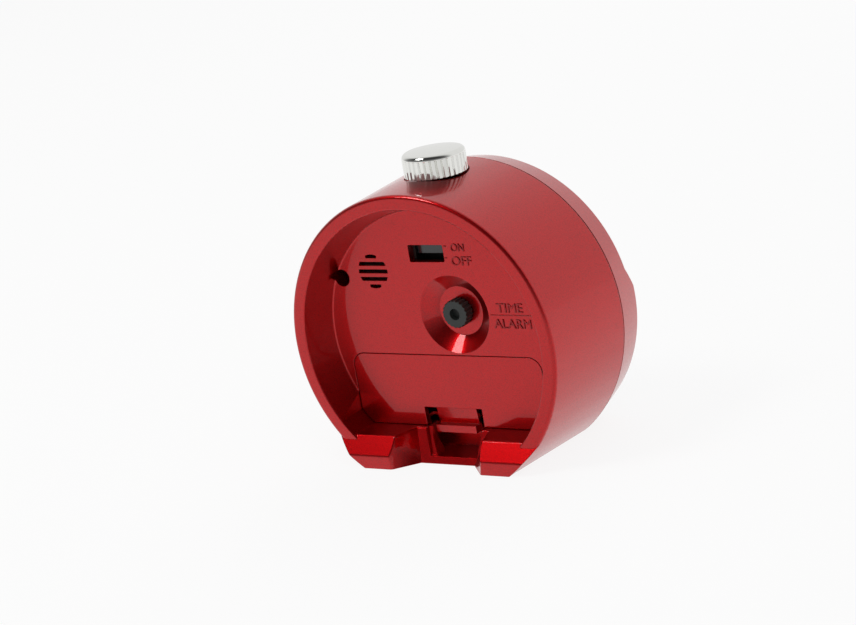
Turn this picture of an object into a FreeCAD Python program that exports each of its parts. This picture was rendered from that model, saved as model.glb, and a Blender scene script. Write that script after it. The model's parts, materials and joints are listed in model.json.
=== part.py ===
import FreeCAD, Part
import math
import os
import re
import Sketcher
from FreeCAD import Placement, Rotation, Vector

# A drum-shaped quartz alarm clock, seen from behind in its photograph. Millimetres.
# The dial looks along -Y, +Z is up, and the clock stands on the plane Z = 0.
# Every sub-part is drawn about the drum's axis, then raised by the axis height.

SIZES = {
    # drum
    "case_depth": 52.4,
    "axis_height": 37.2,
    "rim_radius": 45.0,
    "seam_radius": 46.5,
    "rim_to_seam": 36.3,
    "rim_width": 4.2,
    "rim_outer_round": 1.2,
    "rim_inner_round": 0.5,
    "rear_wall": 2.1,
    "seam_wall": 3.6,
    "base_wall": 2.0,
    # rear panel and sill
    "panel_depth": 10.8,
    "recess_taper": 2.8,
    "recess_round": 0.6,
    "panel_wall": 2.4,
    "foot_reach": 2.9,
    "floor_below_axis": 28.1,
    "slope_inset": 1.0,
    "slope_drop": 5.2,
    "notch_rear_half": 17.0,
    "notch_inner_half_low": 9.3,
    "notch_inner_half_high": 12.7,
    "notch_depth_low": 6.4,
    "notch_depth_high": 12.0,
    "latch_gate_far": 9.9,
    "latch_gate_low": 4.8,
    "latch_gate_knee": 7.4,
    "latch_gate_knee_drop": 2.3,
    "latch_gate_high": 7.6,
    "latch_recess_low": 6.4,
    "latch_recess_high": 9.25,
    "latch_gate_lip": 1.9,
    "latch_step": 1.2,
    "latch_pocket_depth": 4.0,
    # bezel, lens and dial
    "seam_gap": 0.35,
    "lip_rise": 3.5,
    "lip_step_top": 9.5,
    "lip_step_low": 2.6,
    "lip_taper": 2.7,
    "bezel_base_gap": 0.4,
    "bezel_edge_round": 0.8,
    "bezel_opening_radius": 32.8,
    "bezel_tube_wall": 1.5,
    "bezel_skin": 1.8,
    "spigot_length": 2.5,
    "spigot_gap": 0.15,
    "lens_radius": 34.3,
    "lens_thickness": 1.8,
    "lens_gap": 0.15,
    "dial_to_lens": 5.6,
    "dial_thickness": 1.0,
    "dial_ring_width": 2.0,
    "retainer_thickness": 0.9,
    "marker_radius": 29.5,
    "marker_length": 3.2,
    "marker_width": 1.1,
    "marker_height": 0.35,
    # set knob in its dish
    "set_across": 6.3,
    "set_above": 6.4,
    "dish_radius": 11.8,
    "dish_floor_radius": 7.4,
    "dish_depth": 3.7,
    "dish_wall": 1.8,
    "knob_radius": 4.2,
    "knob_height": 3.3,
    "knob_floor_gap": 0.35,
    "knob_rib_count": 20,
    "knob_rib_radius": 0.5,
    "knob_eye_radius": 1.7,
    "knob_eye_depth": 1.9,
    "knob_eye_floor": 0.5,
    "set_shaft_radius": 1.0,
    "running_gap": 0.05,
    # speaker
    "speaker_across": 19.9,
    "speaker_above": 19.3,
    "speaker_radius": 7.4,
    "speaker_depth": 4.6,
    "speaker_wall": 0.8,
    "speaker_rim": 1.2,
    "speaker_back": 1.0,
    "cone_gap": 0.05,
    "cone_inset": 0.4,
    "cone_sheet": 0.4,
    "cone_drop": 1.8,
    "cone_middle": 1.6,
    "grille_radius": 5.15,
    "grille_pitch": 2.3,
    "grille_slot": 1.15,
    "grille_end_half": 1.95,
    # on and off switch
    "switch_above": 24.75,
    "window_width": 12.1,
    "window_height": 5.1,
    "window_round": 0.4,
    "switch_body_width": 16.0,
    "switch_body_height": 8.6,
    "switch_body_depth": 5.6,
    "slider_width": 10.4,
    "slider_height": 3.3,
    "slider_travel": 2.2,
    "slider_recess": 0.9,
    "slider_depth": 2.8,
    "slider_gap": 0.1,
    # screws and their wells
    "well_inset": 6.92,
    "well_angle": 28.56,
    "well_radius": 2.6,
    "well_boss_radius": 4.0,
    "well_floor": 3.0,
    "screw_shank_radius": 1.25,
    "screw_head_radius": 2.2,
    "screw_head_height": 1.6,
    "screw_bite": 6.0,
    # battery, its bay and door
    "door_half_width": 32.9,
    "door_top_below": 6.2,
    "door_corner": 4.0,
    "door_thickness": 1.6,
    "door_gap": 0.25,
    "door_notch_half": 10.1,
    "door_notch_rise": 5.5,
    "tongue_half_width": 7.0,
    "tongue_gap": 0.5,
    "tongue_root": 0.9,
    "tongue_drop": 2.2,
    "tongue_bar": 2.25,
    "tongue_sheet": 1.0,
    "lug_across": 20.0,
    "lug_width": 6.0,
    "lug_rise": 1.4,
    "lug_thickness": 1.2,
    "bay_clearance": 0.4,
    "contact_room": 8.7,
    "bay_wall": 1.0,
    "cell_radius": 7.2,
    "cell_length": 50.5,
    "cell_nub_radius": 2.75,
    "cell_nub_length": 1.3,
    "cell_below_axis": 17.6,
    "cell_door_gap": 0.4,
    "contact_plate": 0.4,
    "contact_height": 10.0,
    "contact_coil_wire": 0.7,
    "contact_coil_radius": 3.1,
    "contact_coil_turns": 4,
    # push button on the crown
    "button_from_rim": 22.7,
    "button_radius": 9.35,
    "button_height": 6.7,
    "button_sink": 0.35,
    "button_wall": 1.2,
    "button_dome": 0.5,
    "button_edge": 1.4,
    "button_flute_count": 34,
    "button_flute_depth": 0.42,
    "button_flute_half": 0.52,
    "button_travel": 1.2,
    "button_pit_gap": 0.3,
    "button_pit_depth": 1.75,
    "stem_radius": 3.0,
    "stem_guide_radius": 5.2,
    "stem_guide_length": 5.2,
    "clip_radius": 4.6,
    "clip_thickness": 0.7,
    "clip_groove": 0.5,
    "spring_wire": 0.5,
    "spring_radius": 4.6,
    "spring_turns": 3,
    "button_switch_size": 6.0,
    "button_switch_height": 2.6,
    "plunger_radius": 1.6,
    "plunger_height": 0.9,
    "board_thickness": 1.0,
    "board_half_length": 10.0,
    "board_half_width": 5.0,
    "post_radius": 1.8,
    "board_screw_radius": 0.8,
    "board_screw_head": 1.5,
    # movement
    "movement_half_width": 20.0,
    "movement_below_axis": 8.8,
    "movement_above_axis": 23.4,
    "movement_front_depth": 8.0,
    "movement_rear_depth": 7.6,
    "movement_wall": 1.0,
    "bush_radius": 4.0,
    "bush_reach": 2.1,
    "nut_flats_radius": 5.6,
    "nut_thickness": 0.9,
    "arbor_radius": 0.45,
    "tube_wall": 0.55,
    "tube_gap": 0.06,
    "hand_spacing": 1.0,
    "hand_thickness": 0.35,
    "wheel_thickness": 0.8,
    "wheel_spacing": 1.5,
    "minute_teeth": 12,
    "set_wheel_teeth": 36,
    "set_pinion_teeth": 10,
    "hour_teeth": 40,
    "alarm_teeth": 38,
    "second_teeth": 50,
    "coil_radius": 2.6,
    "coil_length": 13.0,
    "coil_core_radius": 1.1,
    "coil_core_gap": 0.05,
    "stator_thickness": 2.2,
    "stator_drop": 8.5,
    "movement_board_length": 14.0,
    "movement_board_width": 8.0,
    "movement_board_thickness": 0.8,
    "movement_board_post": 1.8,
    "crystal_length": 6.0,
    "crystal_radius": 1.0,
    "minute_hand_short": 2.5,
    "minute_hand_width": 2.4,
    "minute_hand_tip": 1.2,
    "minute_hand_tail": 6.0,
    "hour_hand_short": 10.5,
    "hour_hand_width": 3.0,
    "hour_hand_tip": 1.6,
    "hour_hand_tail": 5.5,
    "second_hand_short": 1.5,
    "second_hand_width": 0.8,
    "second_hand_tip": 0.5,
    "second_hand_tail": 8.0,
    "alarm_hand_short": 16.5,
    "alarm_hand_width": 1.4,
    "alarm_hand_tip": 0.6,
    "alarm_hand_tail": 4.6,
    "hand_hub_wall": 1.1,
    "minute_hand_turn": 60.0,
    "hour_hand_turn": 305.0,
    "second_hand_turn": 210.0,
    "alarm_hand_turn": 180.0,
}

# radii about the drum's axis
RIM_INNER = "(rim_radius - rim_width)"
PANEL_EDGE = f"({RIM_INNER} - recess_taper)"
CAVITY = "(seam_radius - seam_wall)"
CAVITY_REAR = "(rim_radius - rear_wall)"
LIP_RADIUS = "(seam_radius - lip_taper)"

# places along Y, worked out from the sizes: the rear is +Y
RIM_Y = "(case_depth / 2 - foot_reach)"
PANEL_Y = f"({RIM_Y} - panel_depth)"
PANEL_INNER_Y = f"({PANEL_Y} - panel_wall)"
SEAM_Y = f"({RIM_Y} - rim_to_seam)"
LIP_Y = "(0 - case_depth / 2)"
BEZEL_Y = f"({LIP_Y} + lip_rise)"
DIAL_Y = SEAM_Y
DIAL_REAR_Y = f"({DIAL_Y} + dial_thickness)"
LENS_REAR_Y = f"({DIAL_Y} - dial_to_lens)"
LENS_FRONT_Y = f"({LENS_REAR_Y} - lens_thickness)"
DISH_Y = f"({PANEL_Y} - dish_depth)"
KNOB_Y = f"({DISH_Y} + knob_floor_gap)"
SHAFT_END_Y = f"({KNOB_Y} + knob_height - knob_eye_depth - knob_eye_floor)"
DOOR_INNER_Y = f"({PANEL_Y} - door_thickness)"
CELL_Y = f"({DOOR_INNER_Y} - cell_door_gap - cell_radius)"
BAY_FRONT_Y = f"({CELL_Y} - cell_radius - cell_door_gap)"
SWITCH_FRONT_Y = f"({PANEL_INNER_Y} - switch_body_depth)"
WELL_FLOOR_Y = f"({SEAM_Y} + spigot_length + well_floor + 1)"
BUTTON_Y = f"({RIM_Y} - button_from_rim)"
MOVEMENT_JOIN_Y = f"({DIAL_REAR_Y} + movement_front_depth)"
MOVEMENT_REAR_Y = f"({MOVEMENT_JOIN_Y} + movement_rear_depth)"
BUSH_END_Y = f"({DIAL_REAR_Y} - bush_reach)"

# heights above or below the drum's axis
BASE_Z = "(0 - axis_height)"
FLOOR_Z = "(0 - floor_below_axis)"
CELL_Z = "(0 - cell_below_axis)"
DOOR_TOP_Z = "(0 - door_top_below)"
DOOR_LOW_Z = f"({FLOOR_Z} + door_gap)"
NOTCH_LOW_Z = f"({BASE_Z} - 0.2)"
NOTCH_HIGH_Z = f"({FLOOR_Z} + 0.2)"
CROWN_Z = "(rim_radius + (seam_radius - rim_radius) * button_from_rim / rim_to_seam)"
BUTTON_LOW_Z = f"({CROWN_Z} - button_sink)"
BUTTON_TOP_Z = f"({BUTTON_LOW_Z} + button_height)"
PIT_FLOOR_Z = f"({CROWN_Z} - button_pit_depth)"
STEM_END_Z = f"({PIT_FLOOR_Z} - stem_guide_length - clip_thickness - 1.4)"
PLUNGER_TOP_Z = f"({STEM_END_Z} - button_travel - 0.1)"
BOARD_TOP_Z = f"({PLUNGER_TOP_Z} - plunger_height - button_switch_height)"

# the battery's bay, and the two screw wells on a circle about the axis
BAY_HALF_LENGTH = "((cell_length + contact_room) / 2)"
BAY_HALF_HEIGHT = "(cell_radius + bay_clearance)"
WELL_X = f"(({CAVITY} - well_inset) * cos(well_angle * 1 deg))"
WELL_Z = f"(({CAVITY} - well_inset) * sin(well_angle * 1 deg))"

doc = FreeCAD.newDocument("drum_alarm_clock")
sheet = doc.addObject("Spreadsheet::Sheet", "sizes")
for row, (alias, number) in enumerate(SIZES.items(), start=1):
    sheet.set(f"A{row}", alias)
    sheet.set(f"B{row}", str(number))
    sheet.setAlias(f"B{row}", alias)
doc.recompute()


def bound(expression):
    """The expression with each alias pointing at its cell in the sheet."""
    def cell(word):
        return "sizes." + word.group(0) if word.group(0) in SIZES else word.group(0)
    return re.sub(r"[a-z][a-z_]*", cell, str(expression))


def value(expression):
    """The expression's number, read from the sheet."""
    return float(sheet.evalExpression(bound(expression)))


def new_body(label):
    body = doc.addObject("PartDesign::Body", label)
    body.Label = label
    return body


def sketch_on(body, plane, shift=("0", "0", "0")):
    """A sketch on one of the body's own planes, moved by shift in the plane's own directions."""
    sketch = body.newObject("Sketcher::SketchObject", "outline")
    support = next(item for item in body.Origin.OriginFeatures if item.Role == plane)
    sketch.AttachmentSupport = [(support, "")]
    sketch.MapMode = "FlatFace"
    for axis, expression in zip("xyz", shift):
        if expression != "0":
            sketch.setExpression(f"AttachmentOffset.Base.{axis}", bound(expression))
    return sketch


def fix_point(sketch, geometry, point, across, up):
    """Tie a point of the sketch to two expressions."""
    for kind, axis, expression in (("DistanceX", -2, across), ("DistanceY", -1, up)):
        number = value(expression)
        if abs(number) < 1e-9:
            sketch.addConstraint(Sketcher.Constraint("PointOnObject", geometry, point, axis))
        else:
            index = sketch.addConstraint(Sketcher.Constraint(kind, -1, 1, geometry, point, number))
            sketch.setExpression(f"Constraints[{index}]", bound(expression))


def draw_polygon(sketch, corners):
    """A closed outline through corners that are pairs of expressions."""
    first = sketch.GeometryCount
    points = [Vector(value(across), value(up), 0) for across, up in corners]
    for index, start in enumerate(points):
        sketch.addGeometry(Part.LineSegment(start, points[(index + 1) % len(points)]))
    for index in range(len(points)):
        following = first + (index + 1) % len(points)
        sketch.addConstraint(Sketcher.Constraint("Coincident", first + index, 2, following, 1))
    for index, (across, up) in enumerate(corners):
        fix_point(sketch, first + index, 1, across, up)


def draw_box(sketch, left, low, right, high):
    draw_polygon(sketch, [(left, low), (right, low), (right, high), (left, high)])


def draw_circle(sketch, across, up, radius):
    centre = Vector(value(across), value(up), 0)
    index = sketch.addGeometry(Part.Circle(centre, Vector(0, 0, 1), value(radius)))
    fix_point(sketch, index, 3, across, up)
    rule = sketch.addConstraint(Sketcher.Constraint("Radius", index, value(radius)))
    sketch.setExpression(f"Constraints[{rule}]", bound(radius))


def along_y(body, kind, draw, rear, front):
    """Pad or pocket an outline drawn in X and Z, from Y = rear to Y = front."""
    sketch = sketch_on(body, "XZ_Plane", ("0", "0", f"0 - ({rear})"))
    draw(sketch)
    feature = body.newObject(f"PartDesign::{kind}", kind.lower())
    feature.Profile = sketch
    feature.Reversed = kind == "Pocket"
    feature.setExpression("Length", bound(f"({rear}) - ({front})"))
    return feature


def along_x(body, kind, draw, width, middle="0"):
    """Pad or pocket an outline drawn in Y and Z, centred on X = middle."""
    sketch = sketch_on(body, "YZ_Plane", ("0", "0", middle))
    draw(sketch)
    feature = body.newObject(f"PartDesign::{kind}", kind.lower())
    feature.Profile = sketch
    feature.Midplane = True
    feature.setExpression("Length", bound(width))
    return feature


def along_z(body, kind, draw, low, high):
    """Pad or pocket an outline drawn in X and Y, from Z = low to Z = high."""
    sketch = sketch_on(body, "XY_Plane", ("0", "0", low))
    draw(sketch)
    feature = body.newObject(f"PartDesign::{kind}", kind.lower())
    feature.Profile = sketch
    feature.Reversed = kind == "Pocket"
    feature.setExpression("Length", bound(f"({high}) - ({low})"))
    return feature


def turn_about_y(body, kind, corners, across="0", above="0", angle=360):
    """Turn a profile of (Y, radius) corners about a line along Y."""
    sketch = sketch_on(body, "YZ_Plane", ("0", above, across))
    draw_polygon(sketch, corners)
    feature = body.newObject(f"PartDesign::{kind}", kind.lower())
    feature.Profile = sketch
    feature.ReferenceAxis = (sketch, ["H_Axis"])
    feature.Angle = angle
    feature.Midplane = angle != 360
    return feature


def turn_about_z(body, kind, corners):
    """Turn a profile of (radius, Z) corners about the body's Z axis."""
    sketch = sketch_on(body, "XZ_Plane")
    draw_polygon(sketch, corners)
    feature = body.newObject(f"PartDesign::{kind}", kind.lower())
    feature.Profile = sketch
    feature.ReferenceAxis = (sketch, ["V_Axis"])
    feature.Angle = 360
    return feature


def round_edges(body, chosen, radius):
    """Fillet the edges of the body's present tip that the test picks."""
    doc.recompute()
    names = [f"Edge{n}" for n, edge in enumerate(body.Tip.Shape.Edges, start=1) if chosen(edge)]
    fillet = body.newObject("PartDesign::Fillet", "fillet")
    fillet.Base = (body.Tip if body.Tip != fillet else fillet.BaseFeature, names)
    fillet.setExpression("Radius", bound(radius))
    return fillet


def is_circle(edge, radius, y):
    """Whether the edge lies on a circle about the drum's axis at this Y."""
    curve = edge.Curve
    if curve.TypeId != "Part::GeomCircle":
        return False
    return abs(curve.Radius - value(radius)) < 0.01 and abs(curve.Center.y - value(y)) < 0.01


def is_level_circle(edge, radius, z):
    """Whether the edge is a level circle of this radius at this height."""
    curve = edge.Curve
    if curve.TypeId != "Part::GeomCircle":
        return False
    return abs(curve.Radius - value(radius)) < 0.01 and abs(curve.Center.z - value(z)) < 0.01


def raise_to_axis(node, y="0", x="0", z="0"):
    """Place a sub-part from its own centre lines to its height over the ground."""
    node.setExpression("Placement.Base.x", bound(x))
    node.setExpression("Placement.Base.y", bound(y))
    node.setExpression("Placement.Base.z", bound(f"axis_height + ({z})"))
    return node


def solid_node(label, shape, x="0", y="0", z="0", turned=Rotation()):
    """A sub-part whose shape is made with Part's own functions."""
    node = doc.addObject("Part::Feature", label)
    node.Label = label
    node.Shape = shape
    place = Vector(value(x), value(y), value(f"axis_height + ({z})"))
    node.Placement = Placement(place, turned)
    return node


def boolean_node(kind, label, pieces):
    """A Part fuse or cut of document objects, drawn about the drum's axis."""
    node = doc.addObject(kind, label)
    node.Label = label
    if kind == "Part::Cut":
        node.Base, node.Tool = pieces
    else:
        node.Shapes = pieces
    return node


def arc_after(start, heading, end):
    """The arc that leaves start along heading and ends at end."""
    chord = end - start
    bulge = heading - chord * (heading.dot(chord) / chord.dot(chord))
    turn = math.acos(max(-1.0, min(1.0, heading.dot(chord) / chord.Length)))
    middle = (start + end) * 0.5 + bulge.normalize() * (chord.Length / 2 * math.tan(turn / 2))
    return Part.Arc(start, middle, end).toShape()


def biarc(start, heading, end, arrival):
    """Two arcs from one point and direction to another."""
    gap = end - start
    both = heading + arrival
    opening = 2 * (1 - heading.dot(arrival))
    reach = (math.sqrt(gap.dot(both) ** 2 + opening * gap.dot(gap)) - gap.dot(both)) / opening
    joint = (start + heading * reach + end - arrival * reach) * 0.5
    return [arc_after(start, heading, joint), arc_after(end, arrival * -1, joint)]


def coil_tube(radius, wire_radius, height, turns):
    """One unbroken helical tube about +Z, on biarcs of a half turn, and its gap between turns."""
    pitch = height / turns
    slope = pitch / (2 * math.pi)
    path = []
    for half_turn in range(2 * turns):
        ends = []
        for step in (half_turn, half_turn + 1):
            angle = step * math.pi
            place = Vector(radius * math.cos(angle), radius * math.sin(angle), step * pitch / 2)
            heading = Vector(-radius * math.sin(angle), radius * math.cos(angle), slope)
            ends.append((place, heading.normalize()))
        (start, heading), (end, arrival) = ends
        path += biarc(start, heading, end, arrival)
    spine = Part.Wire(Part.__sortEdges__(path))
    first_heading = Vector(0, radius, slope)
    section = Part.Wire(Part.Circle(Vector(radius, 0, 0), first_heading, wire_radius).toShape())
    print("coil gap", round(pitch - 2 * wire_radius, 2))
    return spine.makePipeShell([section], True, False)


def gear_face(teeth, module, phase, addendum, thinning):
    """A spur gear's outline in X and Z, with one tooth's middle at phase, facing +Y."""
    pitch_radius = module * teeth / 2
    base_radius = pitch_radius * math.cos(math.radians(PRESSURE_ANGLE))
    tip_radius = pitch_radius + addendum * module
    root_radius = pitch_radius - DEDENDUM * module
    half_pitch_angle = math.pi / (2 * teeth) - thinning / (2 * pitch_radius)

    def half_angle(radius):
        """Half of a tooth's angle at this radius, on involute flanks."""
        def involute(at):
            pressure = math.acos(min(1.0, base_radius / at))
            return math.tan(pressure) - pressure
        return half_pitch_angle + involute(pitch_radius) - involute(max(radius, base_radius))

    start = max(root_radius, base_radius)
    flank = [root_radius] + [start + (tip_radius - start) * k / FLANK_STEPS for k in range(FLANK_STEPS + 1)]
    points = []
    for tooth in range(teeth):
        middle = phase + 2 * math.pi * tooth / teeth
        sides = [(radius, -half_angle(radius)) for radius in flank]
        sides += [(radius, half_angle(radius)) for radius in reversed(flank)]
        for radius, offset in sides:
            angle = middle + offset
            points.append(Vector(radius * math.cos(angle), 0, radius * math.sin(angle)))
    outline = [point for k, point in enumerate(points) if point.distanceToPoint(points[k - 1]) > 1e-4]
    return Part.Face(Part.makePolygon(outline + [outline[0]]))


PRESSURE_ANGLE = 20
DEDENDUM = 1.2
FLANK_STEPS = 3
WHEEL_ADDENDUM = 0.6
PINION_ADDENDUM = 0.8
TOOTH_THINNING = 0.07


def y_cylinder(radius, rear, front, bore=0.0):
    """A round bar or tube about the Y axis, from Y = rear forward to Y = front."""
    bar = Part.makeCylinder(radius, rear - front, Vector(0, rear, 0), Vector(0, -1, 0))
    if bore:
        bar = bar.cut(Part.makeCylinder(bore, rear - front, Vector(0, rear, 0), Vector(0, -1, 0)))
    return bar


def make_drum_shell():
    """The tapering drum wall with its rounded rim, the deep rear recess and the rear panel."""
    body = new_body("drum_shell")
    turn_about_y(body, "Revolution", [
        (SEAM_Y, "seam_radius"), (RIM_Y, "rim_radius"), (RIM_Y, RIM_INNER),
        (PANEL_Y, PANEL_EDGE), (PANEL_Y, "0"), (PANEL_INNER_Y, "0"),
        (PANEL_INNER_Y, CAVITY_REAR), (SEAM_Y, CAVITY)])
    round_edges(body, lambda edge: is_circle(edge, "rim_radius", RIM_Y), "rim_outer_round")
    round_edges(body, lambda edge: is_circle(edge, RIM_INNER, RIM_Y), "rim_inner_round")
    round_edges(body, lambda edge: is_circle(edge, PANEL_EDGE, PANEL_Y), "recess_round")
    return body


def make_sill():
    """The heavy lower part behind the base, with its floor, bevel and projecting feet."""
    body = new_body("sill")
    along_y(body, "Pad", lambda s: draw_circle(s, "0", "0", "rim_radius"), "case_depth / 2",
            f"({PANEL_INNER_Y} - 3)")
    rear = "(case_depth / 2 + 1)"
    along_x(body, "Pocket", lambda s: draw_polygon(s, [
        (f"({PANEL_INNER_Y} - 4)", FLOOR_Z), (f"({RIM_Y} - slope_inset)", FLOOR_Z),
        ("case_depth / 2", f"({FLOOR_Z} - slope_drop)"), (rear, f"({FLOOR_Z} - slope_drop)"),
        (rear, "rim_radius + 1"), (f"({PANEL_INNER_Y} - 4)", "rim_radius + 1")]),
        "rim_radius * 3")
    return body


def make_base_plate():
    """The flat inner floor of the drum, over the ground."""
    body = new_body("base_plate")
    turn_about_y(body, "Revolution", [
        (SEAM_Y, "0"), (SEAM_Y, f"({CAVITY} + 0.5)"), (PANEL_INNER_Y, f"({CAVITY_REAR} + 0.5)"),
        (PANEL_INNER_Y, "0")])
    along_x(body, "Pocket", lambda s: draw_box(
        s, f"{SEAM_Y} - 1", f"{BASE_Z} + base_wall", f"{PANEL_Y} + 1", "seam_radius + 1"),
        "seam_radius * 3")
    return body


def make_battery_bay():
    """The walls round the cell, moulded on the inner side of the panel."""
    body = new_body("battery_bay")
    outer = (f"(0 - {BAY_HALF_LENGTH} - bay_wall)", f"({CELL_Z} - {BAY_HALF_HEIGHT} - bay_wall)",
             f"{BAY_HALF_LENGTH} + bay_wall", f"{CELL_Z} + {BAY_HALF_HEIGHT} + bay_wall")
    along_y(body, "Pad", lambda s: draw_box(s, *outer), PANEL_INNER_Y, f"({BAY_FRONT_Y} - bay_wall)")
    return body


def make_dish_backing():
    """The round boss behind the panel that the knob's dish is sunk into."""
    body = new_body("dish_backing")
    along_y(body, "Pad", lambda s: draw_circle(s, "0 - set_across", "set_above", "dish_radius + dish_wall"),
            PANEL_INNER_Y, f"({DISH_Y} - dish_wall)")
    return body


def make_well_bosses():
    """The two tubes that the case screws pass down."""
    body = new_body("well_bosses")
    for side in ("", "0 - "):
        along_y(body, "Pad", lambda s: draw_circle(s, f"{side}{WELL_X}", WELL_Z, "well_boss_radius"),
                PANEL_INNER_Y, f"({WELL_FLOOR_Y} - well_floor)")
    return body


def make_button_guide():
    """The sleeve under the crown that guides the button's stem, and the board's two posts."""
    body = new_body("button_guide")
    along_z(body, "Pad", lambda s: draw_circle(s, "0", BUTTON_Y, "stem_guide_radius"),
            f"({PIT_FLOOR_Z} - stem_guide_length)", f"({PIT_FLOOR_Z} - 0.5)")
    for side in ("", "0 - "):
        along_z(body, "Pad", lambda s: draw_circle(s, f"{side}(board_half_length - post_radius)",
                                                   BUTTON_Y, "post_radius"),
                BOARD_TOP_Z, f"({PIT_FLOOR_Z} - 0.5)")
    return body


def notch_wall(level):
    """Where the sloping front wall of the base's notch stands along Y, at a height."""
    share = f"(({NOTCH_HIGH_Z} - {level}) / ({NOTCH_HIGH_Z} - {NOTCH_LOW_Z}))"
    return f"(case_depth / 2 - notch_depth_high + (notch_depth_high - notch_depth_low) * {share})"


def loft_between(body, sections):
    """A straight-sided solid from the first section to the second."""
    loft = body.newObject("PartDesign::AdditiveLoft", "loft")
    loft.Profile = sections[0]
    loft.Sections = [sections[1]]
    loft.Ruled = True
    return body


def make_case_cuts():
    """Everything that is taken out of the drum: one tool for each opening."""
    cuts = []

    base = new_body("cut_base")
    along_x(base, "Pad", lambda s: draw_box(
        s, "0 - case_depth", "0 - seam_radius * 2", "case_depth", BASE_Z), "seam_radius * 3")
    cuts.append(base)

    door = new_body("cut_door_seat")
    half = "(door_half_width + door_gap)"
    top = f"({DOOR_TOP_Z} + door_gap)"
    along_y(door, "Pad", lambda s: draw_box(s, f"0 - {half}", FLOOR_Z, half, top), f"({RIM_Y} + 0.5)",
            DOOR_INNER_Y)
    round_edges(door, lambda edge: is_y_edge_at(edge, half, top), "door_corner + door_gap")
    drum = new_body("door_seat_bound")
    along_y(drum, "Pad", lambda s: draw_circle(s, "0", "0", RIM_INNER), f"({RIM_Y} + 1)",
            f"({DOOR_INNER_Y} - 1)")
    seat = doc.addObject("Part::Common", "door_seat")
    seat.Base, seat.Tool = door, drum
    cuts.append(seat)

    bay = new_body("cut_bay")
    along_y(bay, "Pad", lambda s: draw_box(
        s, f"0 - {BAY_HALF_LENGTH}", f"({CELL_Z} - {BAY_HALF_HEIGHT})", BAY_HALF_LENGTH,
        f"{CELL_Z} + {BAY_HALF_HEIGHT}"), f"({DOOR_INNER_Y} + 0.5)", BAY_FRONT_Y)
    cuts.append(bay)

    slot = new_body("cut_tongue_slot")
    along_y(slot, "Pad", lambda s: draw_box(
        s, "0 - door_notch_half", f"{FLOOR_Z} - 0.1", "door_notch_half",
        f"{CELL_Z} - {BAY_HALF_HEIGHT} + 0.2"), f"({DOOR_INNER_Y} + 0.5)",
        f"({PANEL_Y} - latch_pocket_depth)")
    cuts.append(slot)

    for side in ("", "0 - "):
        slot = new_body("cut_lug_slot")
        along_x(slot, "Pad", lambda s: draw_box(
            s, f"({PANEL_INNER_Y} - 3)", f"{CELL_Z} + {BAY_HALF_HEIGHT} - 0.2", f"({DOOR_INNER_Y} + 0.1)",
            f"{DOOR_TOP_Z} + lug_rise + door_gap * 2"), "lug_width + door_gap * 2", f"{side}lug_across")
        cuts.append(slot)

    notch = new_body("cut_notch")
    rear = "(case_depth / 2 + 1.5)"
    sections = []
    for level, inner in ((NOTCH_LOW_Z, "notch_inner_half_low"), (NOTCH_HIGH_Z, "notch_inner_half_high")):
        section = sketch_on(notch, "XY_Plane", ("0", "0", level))
        wall = notch_wall(level)
        draw_polygon(section, [("0 - notch_rear_half", rear), (f"0 - {inner}", wall), (inner, wall),
                               ("notch_rear_half", rear)])
        sections.append(section)
    cuts.append(loft_between(notch, sections))

    gate_low = f"({BASE_Z} + latch_gate_lip)"
    gate_high = f"({FLOOR_Z} + 0.5)"
    recess = new_body("cut_latch_recess")
    sections = []
    for level, edge in ((gate_low, "latch_recess_low"), (NOTCH_HIGH_Z, "latch_recess_high")):
        section = sketch_on(recess, "XY_Plane", ("0", "0", level))
        wall = notch_wall(level)
        draw_box(section, "0 - latch_gate_far", f"({wall} - latch_step)", edge, f"({wall} + 1)")
        sections.append(section)
    cuts.append(loft_between(recess, sections))

    gate = new_body("cut_latch_gate")
    along_y(gate, "Pad", lambda s: draw_polygon(s, [
        ("0 - latch_gate_far", gate_low), ("latch_gate_low", gate_low),
        ("latch_gate_knee", f"({FLOOR_Z} - latch_gate_knee_drop)"), ("latch_gate_high", gate_high),
        ("0 - latch_gate_far", gate_high)]), f"({RIM_Y} + 1)", f"({PANEL_Y} + 0.2)")
    cuts.append(gate)
    pocket = new_body("cut_latch_pocket")
    along_y(pocket, "Pad", lambda s: draw_box(
        s, "0 - latch_gate_far", gate_low, "latch_gate_far", gate_high),
        f"({PANEL_Y} + 0.4)", f"({PANEL_Y} - latch_pocket_depth)")
    cuts.append(pocket)

    wells = new_body("cut_wells")
    for side in ("", "0 - "):
        along_y(wells, "Pad", lambda s: draw_circle(s, f"{side}{WELL_X}", WELL_Z, "well_radius"),
                f"({RIM_Y} + 1)", WELL_FLOOR_Y)
    cuts.append(wells)
    for side in ("", "0 - "):
        hole = new_body("cut_screw_hole")
        along_y(hole, "Pad", lambda s: draw_circle(
            s, f"{side}{WELL_X}", WELL_Z, "screw_shank_radius + 0.25"),
            f"({WELL_FLOOR_Y} + 0.5)", f"({WELL_FLOOR_Y} - well_floor - 0.5)")
        cuts.append(hole)
        seat = new_body("cut_boss_seat")
        along_y(seat, "Pad", lambda s: draw_circle(
            s, f"{side}{WELL_X}", WELL_Z, "well_boss_radius + spigot_gap"),
            f"({WELL_FLOOR_Y} - well_floor)", f"({SEAM_Y} - 1)")
        cuts.append(seat)

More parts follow.
